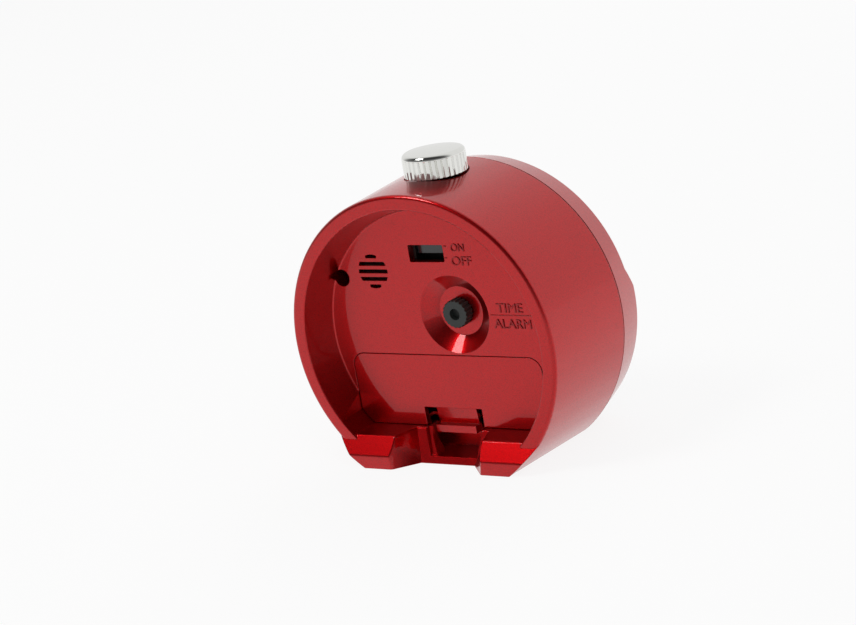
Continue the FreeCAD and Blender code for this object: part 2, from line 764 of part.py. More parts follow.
    bars = new_body("grille_bars")
    for row in range(-2, 3):
        middle = f"(speaker_above + {row} * grille_pitch)"
        half = "grille_end_half" if abs(row) == 2 else "(grille_radius + 1)"
        along_y(bars, "Pad", lambda s: draw_box(
            s, f"speaker_across - {half}", f"{middle} - grille_slot / 2", f"speaker_across + {half}",
            f"{middle} + grille_slot / 2"),
            f"({PANEL_Y} + 0.5)", f"({PANEL_INNER_Y} - 0.5)")
    disc = new_body("grille_disc")
    along_y(disc, "Pad", lambda s: draw_circle(s, "speaker_across", "speaker_above", "grille_radius"),
            f"({PANEL_Y} + 1)", f"({PANEL_INNER_Y} - 1)")
    grille = doc.addObject("Part::Common", "cut_grille")
    grille.Base, grille.Tool = bars, disc
    cuts.append(grille)

    window = new_body("cut_switch_window")
    along_y(window, "Pad", lambda s: draw_box(
        s, "0 - window_width / 2", "switch_above - window_height / 2", "window_width / 2",
        "switch_above + window_height / 2"), f"({PANEL_Y} + 0.5)", f"({PANEL_INNER_Y} - 0.5)")
    round_edges(window, lambda edge: is_y_edge(edge), "window_round")
    cuts.append(window)

    dish = new_body("cut_dish")
    flare = "(dish_radius + (dish_radius - dish_floor_radius) / dish_depth * 0.5)"
    turn_about_y(dish, "Revolution", [
        (f"({PANEL_Y} + 0.5)", "0"), (f"({PANEL_Y} + 0.5)", flare), (DISH_Y, "dish_floor_radius"),
        (DISH_Y, "0")], "0 - set_across", "set_above")
    cuts.append(dish)
    shaft_hole = new_body("cut_set_shaft_hole")
    along_y(shaft_hole, "Pad", lambda s: draw_circle(s, "0 - set_across", "set_above",
                                                     "set_shaft_radius + 0.4"),
            f"({DISH_Y} + 0.5)", f"({DISH_Y} - dish_wall - 0.5)")
    cuts.append(shaft_hole)

    pit = new_body("cut_button_pit")
    along_z(pit, "Pad", lambda s: draw_circle(s, "0", BUTTON_Y, "button_radius + button_pit_gap"),
            PIT_FLOOR_Z, f"({CROWN_Z} + 2)")
    cuts.append(pit)
    stem = new_body("cut_stem_hole")
    along_z(stem, "Pad", lambda s: draw_circle(s, "0", BUTTON_Y, "stem_radius + running_gap"),
            f"({PIT_FLOOR_Z} - stem_guide_length - 1)", CROWN_Z)
    cuts.append(stem)
    return cuts


def is_y_edge(edge):
    """Whether the edge is straight and runs along Y."""
    start, end = edge.Vertexes[0].Point, edge.Vertexes[-1].Point
    return abs(start.x - end.x) < 1e-6 and abs(start.z - end.z) < 1e-6


def is_y_edge_at(edge, across, up):
    """Whether the edge runs along Y at this distance from the middle and this height."""
    point = edge.Vertexes[0].Point
    return is_y_edge(edge) and abs(abs(point.x) - value(across)) < 0.01 and abs(point.z - value(up)) < 0.01


def make_drum_case():
    """The drum with its panel, sill, bay and bosses, moulded as one piece."""
    parts = [make_drum_shell(), make_sill(), make_base_plate(), make_battery_bay(),
             make_dish_backing(), make_well_bosses(), make_button_guide()]
    blank = boolean_node("Part::MultiFuse", "drum_blank", parts)
    tools = boolean_node("Part::MultiFuse", "drum_cuts", make_case_cuts())
    return raise_to_axis(boolean_node("Part::Cut", "drum_case", [blank, tools]))


def make_front_bezel():
    """The flared front ring, whose lower half stands further forward than its upper half."""
    body = new_body("front_bezel")
    shoulder = f"({SEAM_Y} - seam_gap)"
    seat = "(lens_radius + lens_gap)"
    spigot = f"({CAVITY} - spigot_gap)"
    tail = f"({SEAM_Y} + spigot_length)"
    tube = f"({seat} + bezel_tube_wall)"
    turn_about_y(body, "Revolution", [
        (tail, seat), (tail, spigot), (shoulder, spigot), (shoulder, "seam_radius"),
        (LIP_Y, LIP_RADIUS), (LIP_Y, "bezel_opening_radius"),
        (LENS_FRONT_Y, "bezel_opening_radius"), (LENS_FRONT_Y, seat)])
    round_edges(body, lambda edge: is_circle(edge, LIP_RADIUS, LIP_Y), "bezel_edge_round")
    along_x(body, "Pocket", lambda s: draw_polygon(s, [
        (BEZEL_Y, "lip_step_top"), (LIP_Y, "lip_step_low"), (f"({LIP_Y} - 1)", "lip_step_low"),
        (f"({LIP_Y} - 1)", "seam_radius + 1"), (BEZEL_Y, "seam_radius + 1")]), "seam_radius * 3")
    turn_about_y(body, "Groove", [
        (f"({tail} + 1)", tube), (f"({tail} + 1)", f"{spigot} - bezel_skin"),
        (f"({BEZEL_Y} + bezel_skin)", f"{LIP_RADIUS} - bezel_skin * 1.6"),
        (f"({BEZEL_Y} + bezel_skin)", tube)], angle=250)
    along_x(body, "Pocket", lambda s: draw_box(
        s, "0 - case_depth", "0 - seam_radius * 2", "case_depth", f"{BASE_Z} + bezel_base_gap"),
        "seam_radius * 3")
    along_x(body, "Pocket", lambda s: draw_box(
        s, shoulder, "0 - seam_radius * 2", f"({tail} + 1)", f"{BASE_Z} + base_wall + spigot_gap"),
        "seam_radius * 3")
    boss_rear = f"({WELL_FLOOR_Y} - well_floor - 0.05)"
    for side in ("", "0 - "):
        along_y(body, "Pad", lambda s: draw_circle(s, f"{side}{WELL_X}", WELL_Z, "well_boss_radius"),
                boss_rear, f"({BEZEL_Y} + 1)")
    for side in ("", "0 - "):
        along_y(body, "Pocket", lambda s: draw_circle(s, f"{side}{WELL_X}", WELL_Z, "screw_shank_radius"),
                f"({boss_rear} + 0.5)", f"({boss_rear} - screw_bite - 0.5)")
    turn_about_y(body, "Groove", [
        (f"({boss_rear} + 1)", "0"), (f"({boss_rear} + 1)", seat), (LENS_FRONT_Y, seat),
        (LENS_FRONT_Y, "bezel_opening_radius"), (f"({LIP_Y} + bezel_edge_round)", "bezel_opening_radius"),
        (f"({LIP_Y} - 0.1)", "bezel_opening_radius + bezel_edge_round"), (f"({LIP_Y} - 0.1)", "0")])
    return raise_to_axis(body)


def make_front_lens():
    body = new_body("front_lens")
    rear_edge = "(lens_radius - 0.3)"
    turn_about_y(body, "Revolution", [
        (LENS_REAR_Y, "0"), (LENS_REAR_Y, rear_edge), (f"({LENS_REAR_Y} - 0.3)", "lens_radius"),
        (LENS_FRONT_Y, "lens_radius"), (LENS_FRONT_Y, "0")])
    return raise_to_axis(body)


def make_dial_ring():
    """The sloping ring that spaces the dial from the lens."""
    body = new_body("dial_ring")
    turn_about_y(body, "Revolution", [
        (DIAL_Y, "lens_radius - dial_ring_width - 0.6"), (DIAL_Y, "lens_radius"),
        (LENS_REAR_Y, "lens_radius"), (LENS_REAR_Y, "lens_radius - dial_ring_width")])
    return raise_to_axis(body)


def make_dial_plate():
    """The dial with its twelve raised markers."""
    body = new_body("dial_plate")
    along_y(body, "Pad", lambda s: (draw_circle(s, "0", "0", "lens_radius"),
                                    draw_circle(s, "0", "0", "bush_radius + 0.1")), DIAL_REAR_Y, DIAL_Y)
    marker = along_y(body, "Pad", lambda s: draw_box(
        s, "0 - marker_width / 2", "marker_radius - marker_length", "marker_width / 2", "marker_radius"),
        DIAL_Y, f"({DIAL_Y} - marker_height)")
    ring = body.newObject("PartDesign::PolarPattern", "ring")
    ring.Originals = [marker]
    ring.Axis = (marker.Profile[0], ["N_Axis"])
    ring.Angle = 360
    ring.Occurrences = 12
    body.Tip = ring
    return raise_to_axis(body)


def make_dial_retainer():
    """The snap ring behind the dial that keeps dial, ring and lens in the bezel."""
    body = new_body("dial_retainer")
    along_y(body, "Pad", lambda s: (draw_circle(s, "0", "0", "lens_radius"),
                                    draw_circle(s, "0", "0", "lens_radius - dial_ring_width")),
            f"({DIAL_REAR_Y} + retainer_thickness)", DIAL_REAR_Y)
    return raise_to_axis(body)


def movement_box(body, rear, front, grow="0"):
    """The outline of the movement's case, from rear to front."""
    return along_y(body, "Pad" if grow == "0" else "Pocket", lambda s: draw_box(
        s, f"0 - movement_half_width - {grow}", f"0 - movement_below_axis - {grow}",
        f"movement_half_width + {grow}", f"movement_above_axis + {grow}"), rear, front)


def make_movement_base():
    """The movement's front half, an open box with the threaded bush that carries the hands."""
    body = new_body("movement_base")
    movement_box(body, MOVEMENT_JOIN_Y, DIAL_REAR_Y)
    movement_box(body, f"{MOVEMENT_JOIN_Y} + 0.1", f"({DIAL_REAR_Y} + movement_wall)",
                 "(0 - movement_wall)")
    along_y(body, "Pad", lambda s: draw_circle(s, "0", "0", "bush_radius"),
            f"({DIAL_REAR_Y} + movement_wall)", BUSH_END_Y)
    along_y(body, "Pocket", lambda s: draw_circle(s, "0", "0", tube_radius(3, "outer") + " + tube_gap"),
            f"({DIAL_REAR_Y} + movement_wall + 0.1)", f"({BUSH_END_Y} - 0.1)")
    along_y(body, "Pocket", lambda s: draw_circle(s, "0 - set_across", "set_above",
                                                  "set_shaft_radius + running_gap"),
            f"({DIAL_REAR_Y} + movement_wall + 0.1)", f"({DIAL_REAR_Y} + movement_wall / 2)")
    return raise_to_axis(body)


def make_movement_cover():
    """The movement's rear half, with a hole for the set shaft and a bearing for the seconds arbor."""
    body = new_body("movement_cover")
    movement_box(body, MOVEMENT_REAR_Y, MOVEMENT_JOIN_Y)
    movement_box(body, f"({MOVEMENT_REAR_Y} - movement_wall)", f"{MOVEMENT_JOIN_Y} - 0.1",
                 "(0 - movement_wall)")
    along_y(body, "Pad", lambda s: draw_circle(s, "0", "0", "arbor_radius + tube_wall + 0.6"),
            f"({MOVEMENT_REAR_Y} - movement_wall + 0.2)", f"({MOVEMENT_JOIN_Y} + 2)")
    along_y(body, "Pocket", lambda s: draw_circle(s, "0", "0", "arbor_radius + running_gap"),
            f"({MOVEMENT_REAR_Y} - movement_wall)", f"({MOVEMENT_JOIN_Y} + 1.9)")
    along_y(body, "Pocket", lambda s: draw_circle(s, "0 - set_across", "set_above",
                                                  "set_shaft_radius + running_gap"),
            f"({MOVEMENT_REAR_Y} + 0.1)", f"({MOVEMENT_REAR_Y} - movement_wall - 0.1)")
    return raise_to_axis(body)


def tube_radius(index, side):
    """Radii of the nested tubes: 0 the seconds arbor, then minute, hour and alarm tubes."""
    inner = f"(arbor_radius + {index} * tube_gap + {max(index - 1, 0)} * tube_wall)"
    outer = f"(arbor_radius + {index} * (tube_gap + tube_wall))"
    return inner if side == "inner" else outer


def wheel_y(layer):
    """The front face of a wheel's layer inside the movement, counted from the dial."""
    return f"({DIAL_REAR_Y} + movement_wall + 0.35 + {layer} * wheel_spacing)"


def tube_end(index):
    """The front end of a nested tube: each one inside reaches one hand further."""
    return f"({BUSH_END_Y} - 0.2 - {4 - index} * hand_spacing)"


def make_geared_node(label, layer, index, gear, boss=None):
    """A wheel with its tube or arbor, as one sub-part about the drum's axis."""
    front = value(wheel_y(layer))
    rear = front + value("wheel_thickness")
    outer = value(tube_radius(index, "outer"))
    bore = value(tube_radius(index, "inner")) if index else 0.0
    shape = gear.extrude(Vector(0, rear - front, 0))
    shape.translate(Vector(0, front, 0))
    shape = shape.fuse(y_cylinder(outer, rear, value(tube_end(index))))
    if boss:
        shape = shape.fuse(boss)
    if bore:
        shape = shape.cut(y_cylinder(bore, rear + 20, value(tube_end(index)) - 1))
    return solid_node(label, shape.removeSplitter())


def make_wheels():
    """The motion work: minute pinion to set wheel, set pinion to hour wheel, one turn in twelve."""
    spread = math.hypot(value("set_across"), value("set_above"))
    towards_set = math.atan2(value("set_above"), -value("set_across"))
    towards_axis = towards_set + math.pi
    minute_teeth = int(value("minute_teeth"))
    set_teeth = int(value("set_wheel_teeth"))
    pinion_teeth = int(value("set_pinion_teeth"))
    hour_teeth = int(value("hour_teeth"))
    fast_module = 2 * spread / (minute_teeth + set_teeth)
    slow_module = 2 * spread / (pinion_teeth + hour_teeth)
    thick = value("wheel_thickness")

    alarm_module = slow_module * 0.9
    alarm = gear_face(int(value("alarm_teeth")), alarm_module, 0, WHEEL_ADDENDUM, TOOTH_THINNING)
    make_geared_node("alarm_wheel", 0, 3, alarm)

    hour = gear_face(hour_teeth, slow_module, towards_set + math.pi / hour_teeth, WHEEL_ADDENDUM,
                     TOOTH_THINNING)
    make_geared_node("hour_wheel", 1, 2, hour)

    pinion = gear_face(minute_teeth, fast_module, towards_set + math.pi / minute_teeth, PINION_ADDENDUM,
                       TOOTH_THINNING)
    plain_teeth = int(value("second_teeth"))
    wheel_module = 2 * (spread - value("set_shaft_radius") - 0.8) / (plain_teeth + 2)
    wheel = gear_face(plain_teeth, wheel_module, 0, WHEEL_ADDENDUM, TOOTH_THINNING)
    wheel = wheel.extrude(Vector(0, thick, 0))
    wheel.translate(Vector(0, value(wheel_y(3)), 0))
    hub = y_cylinder(value(tube_radius(1, "outer")) + 0.5, value(wheel_y(3)) + thick, value(wheel_y(2)))
    make_geared_node("minute_wheel", 2, 1, pinion, wheel.fuse(hub))

    second_module = wheel_module * 0.85
    second = gear_face(plain_teeth, second_module, 0, WHEEL_ADDENDUM, TOOTH_THINNING)
    arbor_rear = y_cylinder(value("arbor_radius"), value(f"{MOVEMENT_REAR_Y} - movement_wall - 0.2"),
                            value(wheel_y(4)))
    make_geared_node("second_wheel", 4, 0, second, arbor_rear)

    set_wheel = gear_face(set_teeth, fast_module, towards_axis, WHEEL_ADDENDUM, TOOTH_THINNING)
    set_wheel = set_wheel.extrude(Vector(0, thick, 0))
    set_wheel.translate(Vector(0, value(wheel_y(2)), 0))
    set_pinion = gear_face(pinion_teeth, slow_module, towards_axis, PINION_ADDENDUM, TOOTH_THINNING)
    set_pinion = set_pinion.extrude(Vector(0, value(wheel_y(2)) - value(wheel_y(1)) + 0.1, 0))
    set_pinion.translate(Vector(0, value(wheel_y(1)), 0))
    shaft = y_cylinder(value("set_shaft_radius"), value(SHAFT_END_Y),
                       value(f"{DIAL_REAR_Y} + movement_wall / 2 + 0.1"))
    wheel_and_pinion = set_wheel.fuse(set_pinion)
    core = y_cylinder(value("set_shaft_radius"), value(wheel_y(5)), value(wheel_y(1)) - 0.5)
    solid_node("set_wheel", wheel_and_pinion.cut(core).removeSplitter(), "0 - set_across", "0", "set_above")
    solid_node("set_shaft", shaft, "0 - set_across", "0", "set_above")


def make_set_knob():
    """The ribbed knob that is pressed on the set shaft, with a blind eye in its face."""
    body = new_body("set_knob")
    along_y(body, "Pad", lambda s: draw_circle(s, "0", "0", "knob_radius"),
            f"({KNOB_Y} + knob_height)", KNOB_Y)
    round_edges(body, lambda edge: is_circle(edge, "knob_radius", f"{KNOB_Y} + knob_height"), "0.35")
    flute = along_y(body, "Pocket", lambda s: draw_circle(s, "0", "knob_radius + knob_rib_radius * 0.3",
                                                          "knob_rib_radius"),
                    f"({KNOB_Y} + knob_height + 0.1)", f"({KNOB_Y} - 0.1)")
    ring = body.newObject("PartDesign::PolarPattern", "ring")
    ring.Originals = [flute]
    ring.Axis = (flute.Profile[0], ["N_Axis"])
    ring.Angle = 360
    ring.setExpression("Occurrences", bound("knob_rib_count"))
    body.Tip = ring
    along_y(body, "Pocket", lambda s: draw_circle(s, "0", "0", "knob_eye_radius"),
            f"({KNOB_Y} + knob_height + 0.1)", f"({KNOB_Y} + knob_height - knob_eye_depth)")
    along_y(body, "Pocket", lambda s: draw_circle(s, "0", "0", "set_shaft_radius"),
            SHAFT_END_Y, f"({KNOB_Y} - 0.1)")
    return raise_to_axis(body, "0", "0 - set_across", "set_above")


def hand_outline(hub, length, width, tip, tail, turn):
    """A hand's corners in X and Z, pointing away from the hub at a turn from twelve o'clock."""
    side = math.sqrt(hub * hub - width * width / 4)
    half_tail = width * 0.75
    corners = [(-width / 2, side), (-tip / 2, length), (tip / 2, length), (width / 2, side)]
    corners += [(half_tail, -side), (half_tail, -tail), (-half_tail, -tail), (-half_tail, -side)]
    angle = math.radians(turn)
    return [Vector(x * math.cos(angle) + z * math.sin(angle), 0, z * math.cos(angle) - x * math.sin(angle))
            for x, z in corners]


def make_hand(label, index):
    """A flat hand pressed on the end of its tube, with a round hub."""
    turn = value(label + "_turn")
    length = value(f"marker_radius - {label}_short")
    width, tip, tail = (value(f"{label}_{part}") for part in ("width", "tip", "tail"))
    thick = value("hand_thickness")
    rear = value(tube_end(index)) + thick + 0.15
    hub_radius = value(tube_radius(index, "outer")) + value("hand_hub_wall")
    corners = hand_outline(hub_radius, length, width, tip, tail, turn)
    blade = Part.Face(Part.makePolygon(corners + [corners[0]])).extrude(Vector(0, -thick, 0))
    blade.translate(Vector(0, rear, 0))
    hub = y_cylinder(hub_radius, rear, rear - thick)
    shape = blade.fuse(hub).cut(y_cylinder(value(tube_radius(index, "outer")), rear + 1, rear - thick - 1))
    return solid_node(label, shape.removeSplitter())


def make_hands():
    for index, label in enumerate(("second_hand", "minute_hand", "hour_hand", "alarm_hand")):
        make_hand(label, index)


def make_centre_nut():
    """The hexagonal nut that clamps the dial to the movement's bush."""
    body = new_body("centre_nut")
    corner = "nut_flats_radius / cos(30 deg)"
    corners = []
    for k in range(6):
        corners.append((f"({corner} * cos({60 * k} deg))", f"({corner} * sin({60 * k} deg))"))
    along_y(body, "Pad", lambda s: (draw_polygon(s, corners), draw_circle(s, "0", "0", "bush_radius")),
            DIAL_Y, f"({DIAL_Y} - nut_thickness)")
    return raise_to_axis(body)


def make_movement_works():
    """The motor's coil and stator, the circuit board and the crystal inside the movement."""
    rear = value(f"{MOVEMENT_REAR_Y} - movement_wall")
    coil_radius = value("coil_radius")
    length = value("coil_length")
    core = value("coil_core_radius")
    coil_y = rear - coil_radius - 0.6
    coil_z = value("movement_above_axis - movement_wall") - coil_radius - 0.8
    start = Vector(2, coil_y, coil_z)
    along = Vector(1, 0, 0)
    winding = Part.makeCylinder(coil_radius, length, start, along)
    flanges = [Part.makeCylinder(coil_radius + 0.5, 0.8, start + along * offset, along)
               for offset in (-0.8, length)]
    bore = Part.makeCylinder(core + value("coil_core_gap"), length + 4, start - along * 2, along)
    solid_node("motor_coil", winding.fuse(flanges).cut(bore).removeSplitter())

    bar = Part.makeCylinder(core, length + 3.2, start - along * 1.6, along)
    drop = value("stator_drop")
    thick = value("stator_thickness")
    low = coil_z - drop
    front = coil_y - thick / 2
    legs = [Part.makeBox(1.6, thick, coil_z - low + core, Vector(x, front, low))
            for x in (start.x - 3.2, start.x + length + 1.6)]
    yoke = Part.makeBox(length + 6.4, thick, 2.0, Vector(start.x - 3.2, front, low))
    solid_node("motor_stator", bar.fuse(legs + [yoke]).removeSplitter())

    board_length = value("movement_board_length")
    board_width = value("movement_board_width")
    post = value("movement_board_post")
    board_face = rear - post
    board_thick = value("movement_board_thickness")
    left = value("0 - movement_half_width + movement_wall") + 0.5
    high = coil_z + coil_radius
    board = Part.makeBox(board_length, board_thick, board_width,
                         Vector(left, board_face - board_thick, high - board_width))
    posts = [Part.makeCylinder(1.0, post, Vector(left + x, rear, high - 1.5), Vector(0, -1, 0))
             for x in (2.5, board_length - 2.5)]
    solid_node("movement_board", board.fuse(posts).removeSplitter())
    crystal_radius = value("crystal_radius")
    crystal_end = Vector(left + 4, board_face - board_thick - crystal_radius, high - board_width / 2)
    crystal = Part.makeCylinder(crystal_radius, value("crystal_length"), crystal_end, along)
    solid_node("quartz_crystal", crystal)


def make_switch():
    """The switch housing behind the window, and the slider that stands at its upper end."""
    housing = new_body("switch_housing")
    half = "switch_body_width / 2"
    along_y(housing, "Pad", lambda s: draw_box(
        s, f"0 - {half}", "switch_above - switch_body_height / 2", half,
        "switch_above + switch_body_height / 2"), PANEL_INNER_Y, SWITCH_FRONT_Y)
    top = "(switch_above + window_height / 2)"
    along_y(housing, "Pocket", lambda s: draw_box(
        s, "0 - slider_width / 2 - slider_gap", f"{top} - slider_height - slider_travel - slider_gap * 2",
        "slider_width / 2 + slider_gap", top),
        f"({PANEL_INNER_Y} + 0.1)", f"({SWITCH_FRONT_Y} + 1.2)")
    raise_to_axis(housing)

    slider = new_body("switch_slider")
    face = f"({PANEL_INNER_Y} - slider_recess)"
    high = f"({top} - slider_gap)"
    along_y(slider, "Pad", lambda s: draw_box(s, "0 - slider_width / 2", f"{high} - slider_height",
                                              "slider_width / 2", high), face, f"({face} - slider_depth)")
    round_edges(slider, lambda edge: is_y_edge(edge), "0.25")
    raise_to_axis(slider)


def make_speaker():
    """The round sounder behind the grille: a cup and the cone in it."""
    depth = "speaker_depth"
    frame = new_body("speaker_frame")
    rear = PANEL_INNER_Y
    bottom = f"({rear} - {depth})"
    inside = f"({bottom} + speaker_back)"
    turn_about_y(frame, "Revolution", [
        (rear, "speaker_radius"), (bottom, "speaker_radius * 0.62"), (bottom, "0"), (inside, "0"),
        (inside, "speaker_radius * 0.62 - speaker_wall"),
        (f"({rear} - speaker_wall)", "speaker_radius - speaker_rim"), (rear, "speaker_radius - speaker_rim")])
    raise_to_axis(frame, "0", "speaker_across", "speaker_above")
    cone = new_body("speaker_cone")
    edge = "(speaker_radius - speaker_rim - cone_gap)"
    edge_rear = f"({rear} - cone_inset)"
    middle_rear = f"({edge_rear} - cone_drop)"
    turn_about_y(cone, "Revolution", [
        (edge_rear, edge), (middle_rear, "cone_middle"), (middle_rear, "0"),
        (f"({middle_rear} - cone_sheet)", "0"), (f"({middle_rear} - cone_sheet)", "cone_middle"),
        (f"({edge_rear} - cone_sheet)", edge)])
    raise_to_axis(cone, "0", "speaker_across", "speaker_above")


def make_case_screws():
    """The two long screws that hold the bezel, at the bottom of their wells."""
    screws = []
    for side in (1, -1):
        head_front = value(WELL_FLOOR_Y)
        head_rear = head_front + value("screw_head_height")
        head = y_cylinder(value("screw_head_radius"), head_rear, head_front)
        shank = y_cylinder(value("screw_shank_radius"), head_front,
                           head_front - value("well_floor") - value("screw_bite"))
        cross = [Part.makeBox(w, 1.0, t, Vector(-w / 2, head_rear - 0.8, -t / 2))
                 for w, t in ((2.6, 0.5), (0.5, 2.6))]
        screw = head.fuse(shank).cut(cross)
        screw.translate(Vector(side * value(WELL_X), 0, value(WELL_Z)))
        screws.append(screw)
    solid_node("case_screws", Part.makeCompound(screws))


def make_battery_door():
    """The door with its notched lower edge, the finger tongue in the notch and two top lugs."""
    plate = new_body("door_plate")
    along_y(plate, "Pad", lambda s: draw_box(s, "0 - door_half_width", DOOR_LOW_Z, "door_half_width",
                                             DOOR_TOP_Z), PANEL_Y, DOOR_INNER_Y)
    round_edges(plate, lambda edge: is_y_edge_at(edge, "door_half_width", DOOR_TOP_Z), "door_corner")
    along_y(plate, "Pocket", lambda s: draw_box(
        s, "0 - door_notch_half", f"{DOOR_LOW_Z} - 1", "door_notch_half", f"{DOOR_LOW_Z} + door_notch_rise"),
        f"({PANEL_Y} + 0.1)", f"({DOOR_INNER_Y} - 0.1)")
    bound_disc = new_body("door_bound")
    along_y(bound_disc, "Pad", lambda s: draw_circle(s, "0", "0", f"{RIM_INNER} - door_gap"),
            f"({PANEL_Y} + 1)", f"({DOOR_INNER_Y} - 1)")
    trimmed = doc.addObject("Part::Common", "door_trimmed")
    trimmed.Base, trimmed.Tool = plate, bound_disc

    tongue = new_body("door_tongue")
    notch_top = f"({DOOR_LOW_Z} + door_notch_rise)"
    bar_low = f"({DOOR_LOW_Z} - tongue_drop)"
    bar_high = f"({bar_low} + tongue_bar)"
    root = f"({DOOR_INNER_Y} + 0.1)"
    along_x(tongue, "Pad", lambda s: draw_polygon(s, [
        (root, f"({notch_top} + tongue_root)"), (root, notch_top), (f"({DOOR_INNER_Y} - 0.7)", bar_high),
        (PANEL_Y, bar_high), (PANEL_Y, bar_low), (f"({DOOR_INNER_Y} - 0.7 - tongue_sheet)", bar_low),
        (f"({DOOR_INNER_Y} - 0.2 - tongue_sheet)", f"({notch_top} + tongue_root)")]), "tongue_half_width * 2")

    pieces = [trimmed, tongue]
    for side in ("", "0 - "):
        lug = new_body("door_lug")
        inner = f"({DOOR_INNER_Y} - door_gap)"
        lug_low = f"({DOOR_TOP_Z} - 1.3)"
        along_x(lug, "Pad", lambda s: draw_polygon(s, [
            (f"({DOOR_INNER_Y} + 0.1)", f"({DOOR_TOP_Z} - 0.3)"), (f"({DOOR_INNER_Y} + 0.1)", lug_low),
            (f"({inner} - lug_thickness)", lug_low),
            (f"({inner} - lug_thickness)", f"({DOOR_TOP_Z} + lug_rise)"),
            (inner, f"({DOOR_TOP_Z} + lug_rise)"), (inner, f"({DOOR_TOP_Z} - 0.3)")]),
            "lug_width", f"{side}lug_across")
        pieces.append(lug)
    return raise_to_axis(boolean_node("Part::MultiFuse", "battery_door", pieces))


def make_battery():
    """One AA cell lying across the clock, its plate at +X and its coil at -X."""
    cell = new_body("battery_cell")
    body_length = "(cell_length - cell_nub_length)"
    sketch = sketch_on(cell, "XZ_Plane")
    draw_polygon(sketch, [("0", "0"), ("0", "cell_radius - 0.4"), ("0.4", "cell_radius"),
                          (f"{body_length} - 0.6", "cell_radius"), (body_length, "cell_radius - 0.6"),
                          (body_length, "cell_nub_radius"), ("cell_length", "cell_nub_radius"),
                          ("cell_length", "0")])
    turned = cell.newObject("PartDesign::Revolution", "revolution")
    turned.Profile = sketch
    turned.ReferenceAxis = (sketch, ["H_Axis"])
    turned.Angle = 360
    nub_end = f"({BAY_HALF_LENGTH} - contact_plate)"
    raise_to_axis(cell, CELL_Y, f"{nub_end} - cell_length", CELL_Z)

    for label, start in (("contact_plus", nub_end), ("contact_minus", f"(0 - {BAY_HALF_LENGTH})")):
        plate = new_body(label)
        along_x(plate, "Pad", lambda s: draw_box(
            s, f"{CELL_Y} - contact_height / 2", f"{CELL_Z} - contact_height / 2",
            f"{CELL_Y} + contact_height / 2", f"{CELL_Z} + contact_height / 2"), "contact_plate",
            f"({start} + contact_plate / 2)")
        raise_to_axis(plate)

    wire = value("contact_coil_wire") / 2
    room = value("contact_room - contact_plate * 2")
    coil = coil_tube(value("contact_coil_radius"), wire, room - 2 * wire - 0.3,
                     int(value("contact_coil_turns")))
    start = value(f"0 - {BAY_HALF_LENGTH} + contact_plate") + wire + 0.15
    solid_node("contact_coil", coil, f"{start}", CELL_Y, CELL_Z, Rotation(Vector(0, 1, 0), 90))


